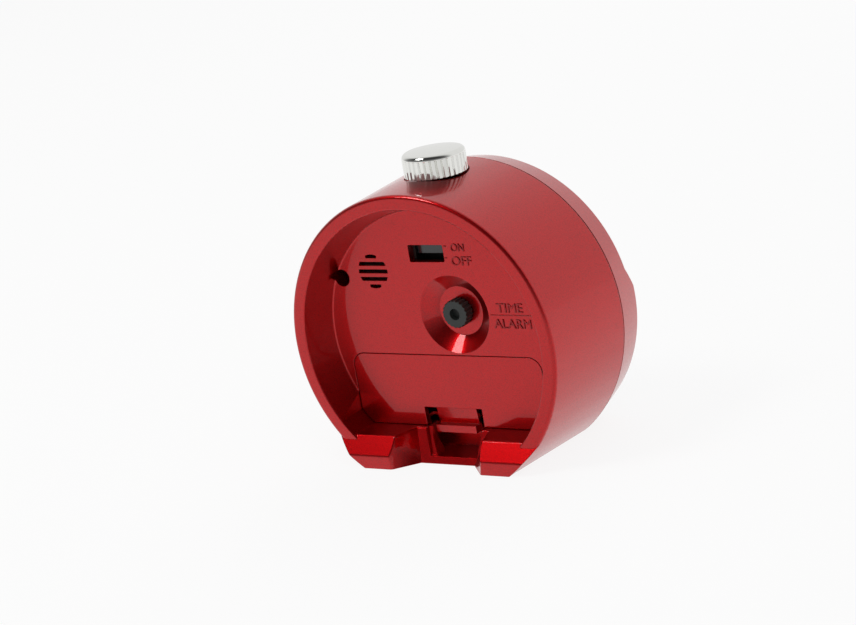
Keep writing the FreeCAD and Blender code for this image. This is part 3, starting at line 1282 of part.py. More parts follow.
def make_button():
    """The fluted cap on the crown, its stem, clip and spring, and the small switch under it."""
    cap = new_body("button_cap")
    low = BUTTON_LOW_Z
    high = BUTTON_TOP_Z
    inner = "(button_radius - button_wall)"
    turn_about_z(cap, "Revolution", [
        ("stem_radius", f"({high} - button_wall - 1.6)"), ("stem_radius", f"({high} - button_wall)"),
        (inner, f"({high} - button_wall)"), (inner, low), ("button_radius", low),
        ("button_radius", high), ("button_radius * 0.5", f"({high} + button_dome * 0.75)"),
        ("0", f"({high} + button_dome)"), ("0", f"({high} - button_wall - 1.6)")])
    round_edges(cap, lambda edge: is_level_circle(edge, "button_radius", high), "button_edge")
    flute = along_z(cap, "Pocket", lambda s: draw_polygon(s, [
        ("button_radius - button_flute_depth", "0"), ("button_radius + 0.1", "0 - button_flute_half"),
        ("button_radius + 0.1", "button_flute_half")]), f"({low} - 0.1)", f"({high} - button_edge)")
    ring = cap.newObject("PartDesign::PolarPattern", "ring")
    ring.Originals = [flute]
    ring.Axis = (flute.Profile[0], ["N_Axis"])
    ring.Angle = 360
    ring.setExpression("Occurrences", bound("button_flute_count"))
    cap.Tip = ring
    raise_to_axis(cap, BUTTON_Y)

    stem = new_body("button_stem")
    guide_low = f"({PIT_FLOOR_Z} - stem_guide_length)"
    clip_top = f"({guide_low} - 0.1)"
    turn_about_z(stem, "Revolution", [
        ("0", STEM_END_Z), ("stem_radius - 0.4", STEM_END_Z), ("stem_radius", f"({STEM_END_Z} + 0.4)"),
        ("stem_radius", f"({clip_top} - clip_thickness)"),
        ("(stem_radius - clip_groove)", f"({clip_top} - clip_thickness)"),
        ("(stem_radius - clip_groove)", clip_top), ("stem_radius", clip_top),
        ("stem_radius", f"({high} - button_wall - 1.6)"), ("0", f"({high} - button_wall - 1.6)")])
    raise_to_axis(stem, BUTTON_Y)

    clip = new_body("stem_clip")
    along_z(clip, "Pad", lambda s: (draw_circle(s, "0", "0", "clip_radius"),
                                    draw_circle(s, "0", "0", "stem_radius - clip_groove")),
            f"({clip_top} - clip_thickness)", clip_top)
    along_z(clip, "Pocket", lambda s: draw_box(s, "0 - 0.9", "0", "0.9", "clip_radius + 1"),
            f"({clip_top} - clip_thickness - 0.1)", f"({clip_top} + 0.1)")
    raise_to_axis(clip, BUTTON_Y)

    wire = value("spring_wire") / 2
    room = value(f"{high} - button_wall - {PIT_FLOOR_Z}")
    spring = coil_tube(value("spring_radius"), wire, room - 2 * wire - 0.1, int(value("spring_turns")))
    solid_node("button_spring", spring, "0", BUTTON_Y, f"{PIT_FLOOR_Z} + spring_wire / 2 + 0.05")

    board = new_body("button_board")
    along_z(board, "Pad", lambda s: draw_box(s, "0 - board_half_length", "0 - board_half_width",
                                             "board_half_length", "board_half_width"),
            f"({BOARD_TOP_Z} - board_thickness)", BOARD_TOP_Z)
    for side in ("", "0 - "):
        along_z(board, "Pocket", lambda s: draw_circle(
            s, f"{side}(board_half_length - post_radius)", "0", "board_screw_radius"),
            f"({BOARD_TOP_Z} - board_thickness - 0.1)", f"({BOARD_TOP_Z} + 0.1)")
    raise_to_axis(board, BUTTON_Y)

    switch = new_body("button_switch")
    half = "button_switch_size / 2"
    along_z(switch, "Pad", lambda s: draw_box(s, f"0 - {half}", f"0 - {half}", half, half), BOARD_TOP_Z,
            f"({BOARD_TOP_Z} + button_switch_height)")
    along_z(switch, "Pad", lambda s: draw_circle(s, "0", "0", "plunger_radius"),
            f"({BOARD_TOP_Z} + button_switch_height)", PLUNGER_TOP_Z)
    raise_to_axis(switch, BUTTON_Y)

    screws = []
    for side in (1, -1):
        x = side * value("board_half_length - post_radius")
        under = value(f"{BOARD_TOP_Z} - board_thickness")
        head = Part.makeCylinder(value("board_screw_head"), 1.0, Vector(x, 0, under - 1.0))
        shank = Part.makeCylinder(value("board_screw_radius"), value("board_thickness"), Vector(x, 0, under))
        screws.append(head.fuse(shank))
    solid_node("board_screws", Part.makeCompound(screws), "0", BUTTON_Y)


NODES = [
    "drum_case", "front_bezel", "front_lens", "dial_ring", "dial_plate", "dial_retainer",
    "movement_base", "movement_cover", "centre_nut", "alarm_wheel", "hour_wheel", "minute_wheel",
    "second_wheel", "set_wheel", "set_shaft", "set_knob", "alarm_hand", "hour_hand", "minute_hand",
    "second_hand", "motor_coil", "motor_stator", "movement_board", "quartz_crystal",
    "switch_housing", "switch_slider", "speaker_frame", "speaker_cone", "case_screws",
    "battery_door", "battery_cell", "contact_plus", "contact_minus", "contact_coil",
    "button_cap", "button_stem", "stem_clip", "button_spring", "button_board", "button_switch",
    "board_screws",
]


def check_and_export():
    """Refuse a failed feature or shape, then write one file for each sub-part."""
    for item in doc.Objects:
        if "Invalid" in item.State or "Error" in item.State:
            raise RuntimeError(f"{item.Label} failed: {item.State}")
    os.makedirs("parts", exist_ok=True)
    for label in NODES:
        node = doc.getObjectsByLabel(label)[0]
        shape = node.Shape
        if shape.isNull() or not shape.isValid() or not shape.Solids:
            raise RuntimeError(f"{label} has no valid solid")
        shape.exportStep(f"parts/{label}.step")
        print(label, len(shape.Solids), round(shape.Volume, 1))


make_drum_case()
make_front_bezel()
make_front_lens()
make_dial_ring()
make_dial_plate()
make_dial_retainer()
make_movement_base()
make_movement_cover()
make_centre_nut()
make_wheels()
make_set_knob()
make_hands()
make_movement_works()
make_switch()
make_speaker()
make_case_screws()
make_battery_door()
make_battery()
make_button()
doc.recompute()
check_and_export()
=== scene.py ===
"""A drum alarm clock in metallic red, seen from behind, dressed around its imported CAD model.

The clock stands on Z = 0 with its dial towards -Y and its battery door towards +Y. Blender works
in metres; a size that is multiplied by MM is written in millimetres.
"""

import json
import math

import bmesh
import bpy
from mathutils import Matrix, Vector


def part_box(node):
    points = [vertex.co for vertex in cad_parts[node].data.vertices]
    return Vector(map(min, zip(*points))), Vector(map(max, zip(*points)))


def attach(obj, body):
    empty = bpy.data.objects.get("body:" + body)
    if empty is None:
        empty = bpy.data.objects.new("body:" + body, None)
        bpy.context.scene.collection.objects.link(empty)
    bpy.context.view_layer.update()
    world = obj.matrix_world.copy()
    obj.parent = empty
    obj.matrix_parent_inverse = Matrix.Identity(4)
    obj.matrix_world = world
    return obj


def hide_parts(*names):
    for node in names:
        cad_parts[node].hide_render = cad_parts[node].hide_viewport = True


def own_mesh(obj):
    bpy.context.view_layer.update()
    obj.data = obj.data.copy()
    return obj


MM = 0.001

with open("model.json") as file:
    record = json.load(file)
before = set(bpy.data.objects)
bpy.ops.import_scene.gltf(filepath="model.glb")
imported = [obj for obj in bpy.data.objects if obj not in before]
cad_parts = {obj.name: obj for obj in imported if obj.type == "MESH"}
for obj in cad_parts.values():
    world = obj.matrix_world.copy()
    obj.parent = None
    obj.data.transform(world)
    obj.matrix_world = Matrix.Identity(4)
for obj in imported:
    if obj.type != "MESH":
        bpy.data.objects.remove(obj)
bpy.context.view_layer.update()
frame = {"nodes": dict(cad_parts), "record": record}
nodes = frame["nodes"]
behaviour = frame["record"]["behaviour"]

BODY_OF = {node: body for body, members in behaviour["bodies"].items() for node in members}
SLOT_OF = {part["node"]: part["material_slot"] for part in frame["record"]["subparts"]}

# The rear panel is flush with the battery door. The dial's printed face is one plate's thickness
# in front of its back.
DIAL_THICKNESS = 1.0 * MM
_, door_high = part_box("battery_door")
dial_low, dial_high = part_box("dial_plate")
PANEL_Y = door_high[1]
DIAL_Y = dial_high[1] - DIAL_THICKNESS
AXIS_Z = (dial_high[2] + dial_low[2]) / 2


# Shaders

def linear(hex_colour):
    """An sRGB hex colour as the linear RGBA that a shader takes."""
    channels = [int(hex_colour[start:start + 2], 16) / 255 for start in (1, 3, 5)]
    return [c / 12.92 if c <= 0.04045 else ((c + 0.055) / 1.055) ** 2.4 for c in channels] + [1.0]


def add_node(tree, kind, settings=None, sockets=None, links=None):
    """Add one shader node, set its properties and sockets, and link its inputs."""
    node = tree.nodes.new(kind)
    for name, setting in (settings or {}).items():
        setattr(node, name, setting)
    for name, setting in (sockets or {}).items():
        node.inputs[name].default_value = setting
    for name, source in (links or {}).items():
        tree.links.new(source, node.inputs[name])
    return node


def new_material(name):
    """A material, its tree, its Principled shader and its object coordinates in millimetres."""
    material = bpy.data.materials.new(name)
    material.use_nodes = True
    tree = material.node_tree
    place = add_node(tree, "ShaderNodeTexCoord")
    millimetres = add_node(tree, "ShaderNodeVectorMath", {"operation": "SCALE"}, {"Scale": 1 / MM},
                           {0: place.outputs["Object"]})
    return material, tree, tree.nodes["Principled BSDF"], millimetres.outputs[0]


def set_sockets(shader, **sockets):
    """Set a shader's sockets, whose names are written with underscores for spaces."""
    for name, setting in sockets.items():
        shader.inputs[name.replace("_", " ")].default_value = setting


def add_grain(tree, shader, place, grain, smooth, rough, depth, edge=0.15):
    """Vary the roughness over grains, raise them slightly, and soften the sharp edges.

    The grain's size, the bump's depth and the radius of the soft edges are in millimetres.
    """
    noise = add_node(tree, "ShaderNodeTexNoise", None, {"Scale": 1 / grain, "Detail": 2.0},
                     {"Vector": place})
    # most of the noise lies between 0.3 and 0.7
    polish = add_node(tree, "ShaderNodeMapRange", None,
                      {"From Min": 0.3, "From Max": 0.7, "To Min": smooth, "To Max": rough},
                      {"Value": noise.outputs["Fac"]})
    tree.links.new(polish.outputs["Result"], shader.inputs["Roughness"])
    soft_edge = add_node(tree, "ShaderNodeBevel", {"samples": 6}, {"Radius": edge * MM})
    bump = add_node(tree, "ShaderNodeBump", None, {"Strength": 1.0, "Distance": depth * MM},
                    {"Height": noise.outputs["Fac"], "Normal": soft_edge.outputs["Normal"]})
    tree.links.new(bump.outputs["Normal"], shader.inputs["Normal"])
    tree.links.new(soft_edge.outputs["Normal"], shader.inputs["Coat Normal"])


def metallic_lacquer(name, hex_colour, dark_hex):
    """Metallic lacquer sprayed on ABS: coloured flakes under a clear coat."""
    material, tree, shader, place = new_material(name)
    # real flakes are some 0.05 mm across; these are 0.3 mm, so that they show in the picture
    flakes = add_node(tree, "ShaderNodeTexVoronoi", None, {"Scale": 1 / 0.3}, {"Vector": place})
    tint = add_node(tree, "ShaderNodeMix", {"data_type": "RGBA"},
                    {"A": linear(hex_colour), "B": linear(dark_hex)},
                    {"Factor": flakes.outputs["Distance"]})
    tree.links.new(tint.outputs["Result"], shader.inputs["Base Color"])
    add_grain(tree, shader, place, grain=0.5, smooth=0.32, rough=0.4, depth=0.004, edge=0.22)
    set_sockets(shader, Metallic=0.95, Coat_Weight=0.75, Coat_Roughness=0.05, Coat_IOR=1.5)
    return material


def moulded_plastic(name, hex_colour, smooth, rough, grain=0.4, depth=0.01, coat=0.0):
    """Plastic or paint of one colour, with the fine texture of its mould or its spray."""
    material, tree, shader, place = new_material(name)
    add_grain(tree, shader, place, grain, smooth, rough, depth)
    set_sockets(shader, Base_Color=linear(hex_colour), IOR=1.5, Coat_Weight=coat,
                Coat_Roughness=0.08)
    return material


def bare_metal(name, hex_colour, smooth, rough, grain=0.3, depth=0.004):
    """Bare or plated metal, whose polish wanders slightly."""
    material, tree, shader, place = new_material(name)
    add_grain(tree, shader, place, grain, smooth, rough, depth)
    set_sockets(shader, Base_Color=linear(hex_colour), Metallic=1.0)
    return material


def clear_acrylic(name):
    """Polished acrylic: clear and glossy."""
    material, _, shader, _ = new_material(name)
    set_sockets(shader, Base_Color=linear("#F4F8FA"), Roughness=0.02, IOR=1.49,
                Transmission_Weight=1.0)
    return material


def printed_dial(name):
    """Matt white paint, with black ink on the raised hour markers."""
    material, tree, shader, place = new_material(name)
    add_grain(tree, shader, place, grain=0.8, smooth=0.55, rough=0.7, depth=0.003)
    axes = add_node(tree, "ShaderNodeSeparateXYZ", None, None, {0: place})
    # all that stands 0.1 mm or more in front of the dial's face is a marker
    raised = add_node(tree, "ShaderNodeMath", {"operation": "LESS_THAN"}, {1: DIAL_Y / MM - 0.1},
                      {0: axes.outputs["Y"]})
    ink = add_node(tree, "ShaderNodeMix", {"data_type": "RGBA"},
                   {"A": linear("#EDEBE4"), "B": linear("#101010")},
                   {"Factor": raised.outputs[0]})
    tree.links.new(ink.outputs["Result"], shader.inputs["Base Color"])
    set_sockets(shader, IOR=1.45)
    return material


# Finishes. Each comment says what the finish gives the eye.

# deep red that turns pale where it mirrors the white studio, with a faint grain of flakes
RED = metallic_lacquer("metallic_red_lacquer", "#D0060D", "#9C0308")
# the same lacquer, darker on the raised words and bars: painted shade for the dark edges of raised
# letters
RED_LETTERS_PAINTED_SHADE = metallic_lacquer("metallic_red_lacquer_letters_painted_shade", "#AE0810", "#7C0408")
# a clean mirror
CHROME = bare_metal("bright_chrome_plate", "#E6E6E2", smooth=0.04, rough=0.09, grain=1.5,
                    depth=0.002)
# dark grey with a dull sheen, from a spark-eroded mould
KNOB_BLACK = moulded_plastic("charcoal_moulded_abs", "#262A28", smooth=0.38, rough=0.55, grain=0.3,
                             depth=0.02)
# black with a wet gloss, from a polished mould
SLIDER_BLACK = moulded_plastic("glossy_black_abs", "#141517", smooth=0.14, rough=0.22, grain=0.6,
                               depth=0.004, coat=0.4)
# plain dull black, which closes the window and the grille to the eye
HOUSING_BLACK = moulded_plastic("black_moulded_abs", "#070707", smooth=0.45, rough=0.6)
# warm white with a soft sheen
WHITE_PLASTIC = moulded_plastic("off_white_moulded_abs", "#D9D6CC", smooth=0.35, rough=0.5)
# cream and slightly waxy
ACETAL = moulded_plastic("natural_acetal", "#E2DDCB", smooth=0.3, rough=0.42)
# dark green lacquer, even and half glossy
BOARD = moulded_plastic("green_solder_mask", "#0E4A22", smooth=0.25, rough=0.4, grain=1.0,
                        depth=0.01)
# dark film, shrunk smooth round the cell
JACKET = moulded_plastic("printed_cell_jacket", "#26292E", smooth=0.3, rough=0.4)
# brown-black pressed film, dull and slightly rippled
SPEAKER_FILM = moulded_plastic("pressed_speaker_film", "#2A2725", smooth=0.5, rough=0.7, grain=0.6,
                               depth=0.03)
# thin black paint on pressed aluminium, half glossy
HANDS_BLACK = moulded_plastic("black_lacquered_aluminium", "#0A0A0B", smooth=0.25, rough=0.35,
                              grain=0.5, depth=0.003, coat=0.3)
# the same paint in red
HAND_RED = moulded_plastic("red_lacquered_aluminium", "#A11218", smooth=0.25, rough=0.35,
                           grain=0.5, depth=0.003, coat=0.3)
# grey with a drawn wire's even sheen
STEEL = bare_metal("drawn_steel", "#9FA1A3", smooth=0.22, rough=0.34)
# yellow with the fine sheen of a lathe
BRASS = bare_metal("turned_brass", "#C79A4B", smooth=0.2, rough=0.3)
# red-brown wire under clear enamel
COPPER = bare_metal("enamelled_copper_wire", "#8E4A26", smooth=0.25, rough=0.38)
# flat white that shows no lamp, under markers in black
DIAL_WHITE = printed_dial("printed_dial_white")
# clear, with sharp highlights
LENS = clear_acrylic("polished_acrylic")
# dull black ink
PRINT_BLACK = moulded_plastic("printed_black", "#101010", smooth=0.5, rough=0.6, grain=0.5,
                              depth=0.0)

FINISHES = {
    "case_red": RED, "bezel_red": RED, "door_red": RED, "button_chrome": CHROME,
    "knob_black": KNOB_BLACK, "slider_black": SLIDER_BLACK, "housing_black": HOUSING_BLACK,
    "clear_lens": LENS, "dial_white": DIAL_WHITE, "ring_white": WHITE_PLASTIC,
    "hands_black": HANDS_BLACK, "hand_red": HAND_RED, "movement_white": WHITE_PLASTIC,
    "wheel_plastic": ACETAL, "nut_brass": BRASS, "shaft_steel": STEEL, "coil_copper": COPPER,
    "board_green": BOARD, "cell_jacket": JACKET, "spring_steel": STEEL, "screw_steel": STEEL,
    "speaker_black": HOUSING_BLACK, "cone_paper": SPEAKER_FILM,
}


# Pieces

def finish_mesh(name, work, body, material):
    """Turn a bmesh into a piece that rides on a body."""
    mesh = bpy.data.meshes.new(name)
    work.to_mesh(mesh)
    work.free()
    piece = bpy.data.objects.new(name, mesh)
    bpy.context.scene.collection.objects.link(piece)
    piece.data.materials.append(material)
    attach(piece, body)
    return piece


BROAD_FACE = 3.0 * MM ** 2
BROAD_FACE_ANGLE = math.radians(12.0)


def smooth_by_angle(work, sharp_degrees):
    """Smooth all faces, but keep the edges that are sharper than an angle.

    Broad faces keep their common edge from a smaller angle on, so that a slope stays flat.
    """
    for face in work.faces:
        face.smooth = True
    for edge in work.edges:
        is_broad = all(face.calc_area() > BROAD_FACE for face in edge.link_faces)
        limit = BROAD_FACE_ANGLE if is_broad else math.radians(sharp_degrees)
        edge.smooth = len(edge.link_faces) == 2 and edge.calc_face_angle(0.0) < limit


# Where the edges of the feet and of the notch between them lie on the drum, in millimetres. Each
# limit is just past its edges.
GROUND_TOP = 0.5
SILL_TOP = 9.2
SLOPE_FOOT = 3.5
SLOPE_FRONT = 22.0
SLOPE_HALF = 30.5
SLOPE_EDGE_LENGTH = 10.0
NOTCH_HALF = 16.5
NOTCH_WALL = 14.25
LIP_TOP = 2.0
LIP_FRONT = 18.5
LATCH_HALF = 6.3
SHORTEST_EDGE = 0.9
BLUNTEST_EDGE = math.radians(30)


def is_foot_edge(edge):
    """Whether an edge of the drum runs round the top of a foot, or round the notch."""
    length = edge.calc_length() / MM
    if not edge.is_convex or edge.calc_face_angle(0.0) < BLUNTEST_EDGE or length < SHORTEST_EDGE:
        return False
    ends = [vert.co / MM for vert in edge.verts]
    if all(end.z < GROUND_TOP for end in ends):
        return False
    if length > SLOPE_EDGE_LENGTH:
        return all(end.y > SLOPE_FRONT and SLOPE_FOOT < end.z < SILL_TOP
                   and abs(end.x) < SLOPE_HALF for end in ends)
    round_notch = all(abs(end.x) < NOTCH_HALF and end.y > NOTCH_WALL and end.z < SILL_TOP
                      for end in ends)
    off_latch = all(abs(end.x) > LATCH_HALF if end.z > LIP_TOP else end.y > LIP_FRONT
                    for end in ends)
    return round_notch and off_latch


SAME_POINT = 0.002 * MM
SAME_PLANE = math.radians(0.4)
EDGE_ROUNDING = 0.4 * MM


def merged_copy(node, sharp_degrees=34.0, is_rounded=None):
    """A merged copy of a CAD node, with smooth round faces, and with its chosen edges rounded."""
    work = bmesh.new()
    work.from_mesh(nodes[node].data)
    bmesh.ops.remove_doubles(work, verts=work.verts, dist=SAME_POINT)
    bmesh.ops.dissolve_limit(work, angle_limit=SAME_PLANE, verts=work.verts, edges=work.edges)
    if is_rounded:
        bmesh.ops.bevel(work, geom=[edge for edge in work.edges if is_rounded(edge)],
                        offset=EDGE_ROUNDING, segments=3, profile=0.5, affect="EDGES", material=-1)
    smooth_by_angle(work, sharp_degrees)
    piece = finish_mesh(node + "_finish", work, BODY_OF[node], FINISHES[SLOT_OF[node]])
    flatten = piece.modifiers.new("broad_faces_flat", "WEIGHTED_NORMAL")
    flatten.weight = 100
    flatten.keep_sharp = True
    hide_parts(node)
    return piece


# A face across Y that letters stand on: its place, and +1 or -1 for the way along Y that it looks.
PANEL_FACE = (PANEL_Y, 1)
DIAL_FACE = (DIAL_Y, -1)
# In millimetres: how deep letters and bars reach into their face, so that no gap shows, and how
# wide the broken edges of a bar are.
ROOT = 0.05
BROKEN_EDGE = 0.05


def cut_letters(name, words):
    """Solid letters in a unit cube, and their own width over their height."""
    curve = bpy.data.curves.new(name + "_curve", "FONT")
    curve.body = words
    curve.extrude = 0.5
    curve.resolution_u = 4
    text = bpy.data.objects.new(name + "_text", curve)
    bpy.context.scene.collection.objects.link(text)
    bpy.context.view_layer.update()
    mesh = bpy.data.meshes.new_from_object(text)
    bpy.data.objects.remove(text)
    letters = bmesh.new()
    letters.from_mesh(mesh)
    left, right = (pick(vert.co.x for vert in letters.verts) for pick in (min, max))
    low, high = (pick(vert.co.y for vert in letters.verts) for pick in (min, max))
    for vert in letters.verts:
        vert.co = ((vert.co.x - left) / (right - left), (vert.co.y - low) / (high - low),
                   vert.co.z + curve.extrude)
    return letters, (right - left) / (high - low)


def set_letters(name, letters, box, face, height, material):
    """Stand letters on a face of the case; the box is left, right, low and high in millimetres."""
    left, right, low, high = box
    plane, outwards = face
    for vert in letters.verts:
        across, up, depth = vert.co
        vert.co = Vector((left + (right - left) * across, 0.0, low + (high - low) * up)) * MM
        vert.co.y = plane + outwards * (depth * height - ROOT) * MM
    bmesh.ops.recalc_face_normals(letters, faces=letters.faces)
    finish_mesh(name, letters, "case", material)


def raised_bar(name, box, face, height, material):
    """A bar with broken edges on a face of the case; the box is as for letters."""
    left, right, low, high = box
    plane, outwards = face
    middle = Vector(((left + right) / 2, 0.0, (low + high) / 2)) * MM
    middle.y = plane + outwards * (height / 2 - ROOT) * MM
    spans = Vector((abs(right - left), height, abs(high - low))) * MM
    bar = bmesh.new()
    bmesh.ops.create_cube(bar, size=1.0)
    bmesh.ops.transform(bar, verts=bar.verts,
                        matrix=Matrix.Translation(middle) @ Matrix.Diagonal((*spans, 1.0)))
    bmesh.ops.bevel(bar, geom=list(bar.edges), offset=BROKEN_EDGE * MM, segments=1, profile=0.5,
                    affect="EDGES", material=-1)
    finish_mesh(name, bar, "case", material)


# The drum keeps its edges from a smaller angle on, where its rim ends on the slopes of the feet.
merged_copy("drum_case", sharp_degrees=20.0, is_rounded=is_foot_edge)
copies = {node: merged_copy(node) for node in (
    "front_bezel", "battery_door", "button_cap", "set_knob", "switch_slider", "front_lens",
    "dial_plate", "dial_ring", "centre_nut")}

# Daylight passes the lens, so that the dial isn't in its shadow.
copies["front_lens"].visible_shadow = False

# The return spring, as a merged copy with a mesh of its own.
spring = merged_copy("button_spring")
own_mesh(spring)

# The words and marks that stand on the rear panel: left, right, low and high in millimetres, with
# heights counted from the drum's axis. The panel is seen from behind, so left is the greater X.
axis = AXIS_Z / MM
WORD_HEIGHT = 0.3
# The words and marks take the darker lacquer, which is painted shade for their raised edges.
for name, words, left, right, low, high in (
        ("word_on", "ON", -8.9, -13.4, 25.4, 27.7),
        ("word_off", "OFF", -8.5, -15.3, 21.2, 23.9),
        ("word_time", "TIME", -21.2, -29.9, 7.3, 10.0),
        ("word_alarm", "ALARM", -19.6, -32.0, 2.6, 5.3)):
    letters, share = cut_letters(name, words)
    set_letters(name, letters, (left, right, axis + low, axis + high), PANEL_FACE, WORD_HEIGHT,
                RED_LETTERS_PAINTED_SHADE)

BAR_HEIGHT = 0.25
for name, left, right, low, high in (
        ("line_between_words", -18.7, -32.9, 6.3, 6.6),
        ("tick_on", -6.5, -7.3, 26.7, 27.1),
        ("tick_off", -6.3, -7.1, 23.2, 23.6)):
    raised_bar(name, (left, right, axis + low, axis + high), PANEL_FACE, BAR_HEIGHT,
               RED_LETTERS_PAINTED_SHADE)

# The plain numbers of the dial, each as wide as its own letters.
NUMBER_RADIUS = 22.3
NUMBER_SIZE = 4.2
INK_HEIGHT = 0.15
for hour in range(1, 13):
    name = f"number_{hour}"
    letters, share = cut_letters(name, str(hour))
    angle = math.radians(30 * hour)
    across = NUMBER_RADIUS * math.sin(angle)
    up = axis + NUMBER_RADIUS * math.cos(angle)
    half_width, half_height = NUMBER_SIZE * share / 2, NUMBER_SIZE / 2
    set_letters(name, letters,
                (across - half_width, across + half_width, up - half_height, up + half_height),
                DIAL_FACE, INK_HEIGHT, PRINT_BLACK)

for node, mesh_object in nodes.items():
    mesh_object.data.materials.clear()
    mesh_object.data.materials.append(FINISHES[SLOT_OF[node]])


# Studio

# How bright things show, as a share of plain white: the floor to the camera; the table in the
# clock's gloss, bright, and dim in its painted shadow; the room in its gloss, in front of the
# dial, and behind the camera low down and overhead; and the room as a light.
FLOOR_TO_CAMERA = 0.88
TABLE_BRIGHT, TABLE_DIM = 0.86, 0.25
ROOM_FRONT, ROOM_REAR_LOW, ROOM_REAR_HIGH = 0.85, 0.3, 0.04
ROOM_LIGHT = 0.45
# Where the soft boxes aim: the middle of the clock.
CLOCK_MIDDLE = Vector((0, 0, 0.04))


def white_paper():
    """White paper under the clock, which the camera sees as nearly plain white.

    It keeps the clock's soft shadow. In the clock's gloss it is a white table, with a painted
    shadow that dims it behind the rear panel on the side away from the key light.
    """
    material = bpy.data.materials.new("white_background_paper")
    material.use_nodes = True
    tree = material.node_tree
    path = add_node(tree, "ShaderNodeLightPath")
    paper = add_node(tree, "ShaderNodeBsdfDiffuse", None, {"Color": linear("#F2F2F2")})
    glow = add_node(tree, "ShaderNodeEmission", None, {"Color": (1, 1, 1, 1), "Strength": 1.0})
    spot = add_node(tree, "ShaderNodeTexCoord")
    axes = add_node(tree, "ShaderNodeSeparateXYZ", None, None, {0: spot.outputs["Object"]})
    # a painted shadow of the clock on the mirrored table, behind the rear panel towards -X
    dim_side = add_node(tree, "ShaderNodeMapRange", {"interpolation_type": "SMOOTHSTEP"},
                        {"From Min": 0.05, "From Max": -0.1}, {"Value": axes.outputs["X"]})
    rear = add_node(tree, "ShaderNodeMapRange", {"interpolation_type": "SMOOTHSTEP"},
                    {"From Min": 0.0, "From Max": 0.06}, {"Value": axes.outputs["Y"]})
    painted_shadow = add_node(tree, "ShaderNodeMath", {"operation": "MULTIPLY"}, None,
                        {0: dim_side.outputs["Result"], 1: rear.outputs["Result"]})
    table = add_node(tree, "ShaderNodeMapRange", None,
                     {"To Min": TABLE_BRIGHT, "To Max": TABLE_DIM},
                     {"Value": painted_shadow.outputs[0]})
    in_gloss = add_node(tree, "ShaderNodeMath", {"operation": "MULTIPLY"}, None,
                        {0: path.outputs["Is Glossy Ray"], 1: table.outputs["Result"]})
    to_camera = add_node(tree, "ShaderNodeMath", {"operation": "MULTIPLY"}, {1: FLOOR_TO_CAMERA},
                         {0: path.outputs["Is Camera Ray"]})
    shown = add_node(tree, "ShaderNodeMath", {"operation": "MAXIMUM"}, None,
                     {0: to_camera.outputs[0], 1: in_gloss.outputs[0]})
    mix = add_node(tree, "ShaderNodeMixShader", None, None,
                   {0: shown.outputs[0], 1: paper.outputs[0], 2: glow.outputs[0]})
    tree.links.new(mix.outputs[0], tree.nodes["Material Output"].inputs["Surface"])
    return material


def lay_floor(half_size=6.0, below_feet=0.05 * MM):
    """A square floor just under the feet, so that its face and theirs don't share a plane."""
    work = bmesh.new()
    bmesh.ops.create_grid(work, x_segments=1, y_segments=1, size=half_size)
    mesh = bpy.data.meshes.new("white_floor")
    work.to_mesh(mesh)
    work.free()
    floor = bpy.data.objects.new("white_floor", mesh)
    bpy.context.scene.collection.objects.link(floor)
    floor.location.z = -below_feet
    floor.data.materials.append(white_paper())


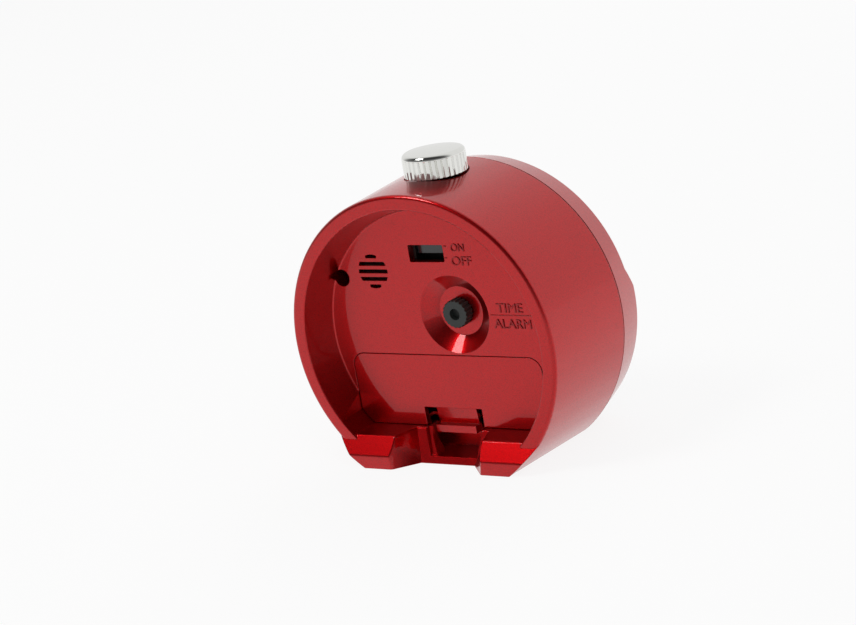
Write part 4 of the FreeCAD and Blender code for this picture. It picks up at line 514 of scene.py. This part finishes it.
def light_room():
    """A world that the camera sees as white, and that lights the clock softly.

    In the clock's gloss it is nearly white in front of the dial, and dims to a dark room behind
    the camera, darkest overhead.
    """
    world = bpy.data.worlds.new("studio")
    bpy.context.scene.world = world
    world.use_nodes = True
    tree = world.node_tree
    path = add_node(tree, "ShaderNodeLightPath")
    mirrored = add_node(tree, "ShaderNodeMath", {"operation": "MAXIMUM"}, None,
                        {0: path.outputs["Is Glossy Ray"], 1: path.outputs["Is Transmission Ray"]})
    direction = add_node(tree, "ShaderNodeTexCoord")
    axes = add_node(tree, "ShaderNodeSeparateXYZ", None, None, {0: direction.outputs["Generated"]})
    room = add_node(tree, "ShaderNodeMapRange", {"interpolation_type": "SMOOTHSTEP"},
                    {"From Min": 0.0, "From Max": 0.65, "To Min": ROOM_REAR_LOW,
                     "To Max": ROOM_REAR_HIGH},
                    {"Value": axes.outputs["Z"]})
    sky = add_node(tree, "ShaderNodeMapRange", {"interpolation_type": "SMOOTHSTEP"},
                   {"From Min": -0.35, "From Max": 0.3, "To Min": ROOM_FRONT},
                   {"Value": axes.outputs["Y"], "To Max": room.outputs["Result"]})
    lit = add_node(tree, "ShaderNodeMix", None, {"A": ROOM_LIGHT},
                   {"Factor": mirrored.outputs[0], "B": sky.outputs["Result"]})
    strength = add_node(tree, "ShaderNodeMath", {"operation": "MAXIMUM"}, None,
                        {0: path.outputs["Is Camera Ray"], 1: lit.outputs["Result"]})
    background = tree.nodes["Background"]
    background.inputs["Color"].default_value = (1, 1, 1, 1)
    tree.links.new(strength.outputs[0], background.inputs["Strength"])


def soft_box(name, place, size, watts, in_gloss):
    """A square soft box that faces the clock, and does or doesn't show in its gloss."""
    data = bpy.data.lights.new(name, "AREA")
    data.size = size
    data.energy = watts
    lamp = bpy.data.objects.new(name, data)
    bpy.context.scene.collection.objects.link(lamp)
    lamp.location = place
    towards = CLOCK_MIDDLE - Vector(place)
    lamp.rotation_euler = towards.to_track_quat("-Z", "Y").to_euler()
    lamp.visible_glossy = in_gloss


def set_camera(place, bearing, rise, roll, lens):
    """The photograph's camera: its place in metres, its angles in degrees and its lens in mm.

    The bearing turns the side that it looks from away from -Y, and the rise lifts it.
    """
    bearing, rise, roll = (math.radians(angle) for angle in (bearing, rise, roll))
    back = Vector((math.sin(bearing) * math.cos(rise), -math.cos(bearing) * math.cos(rise),
                   math.sin(rise)))
    level = (-back).cross(Vector((0, 0, 1))).normalized()
    upright = level.cross(-back)
    right = level * math.cos(roll) + upright * math.sin(roll)
    up = upright * math.cos(roll) - level * math.sin(roll)
    data = bpy.data.cameras.new("camera")
    data.lens = lens
    data.sensor_width = 36.0
    data.sensor_fit = "HORIZONTAL"
    data.clip_start = 0.01
    camera = bpy.data.objects.new("camera", data)
    bpy.context.scene.collection.objects.link(camera)
    turn = Matrix((right, up, back)).transposed().to_4x4()
    camera.matrix_world = Matrix.Translation(place) @ turn
    bpy.context.scene.camera = camera


lay_floor()
light_room()
soft_box("key_soft_box", (0.56, 0.66, 1.17), 0.45, 5.5, True)
soft_box("fill_soft_box", (-0.9, 0.9, 0.9), 1.0, 4.0, False)
soft_box("front_soft_box", (0.2, -1.2, 0.9), 1.0, 4.0, False)
set_camera(Vector((-410.755, 574.598, 233.824)) * MM, bearing=216.348, rise=15.207, roll=-9.95,
           lens=105.14)
bpy.context.scene.view_settings.view_transform = "Standard"
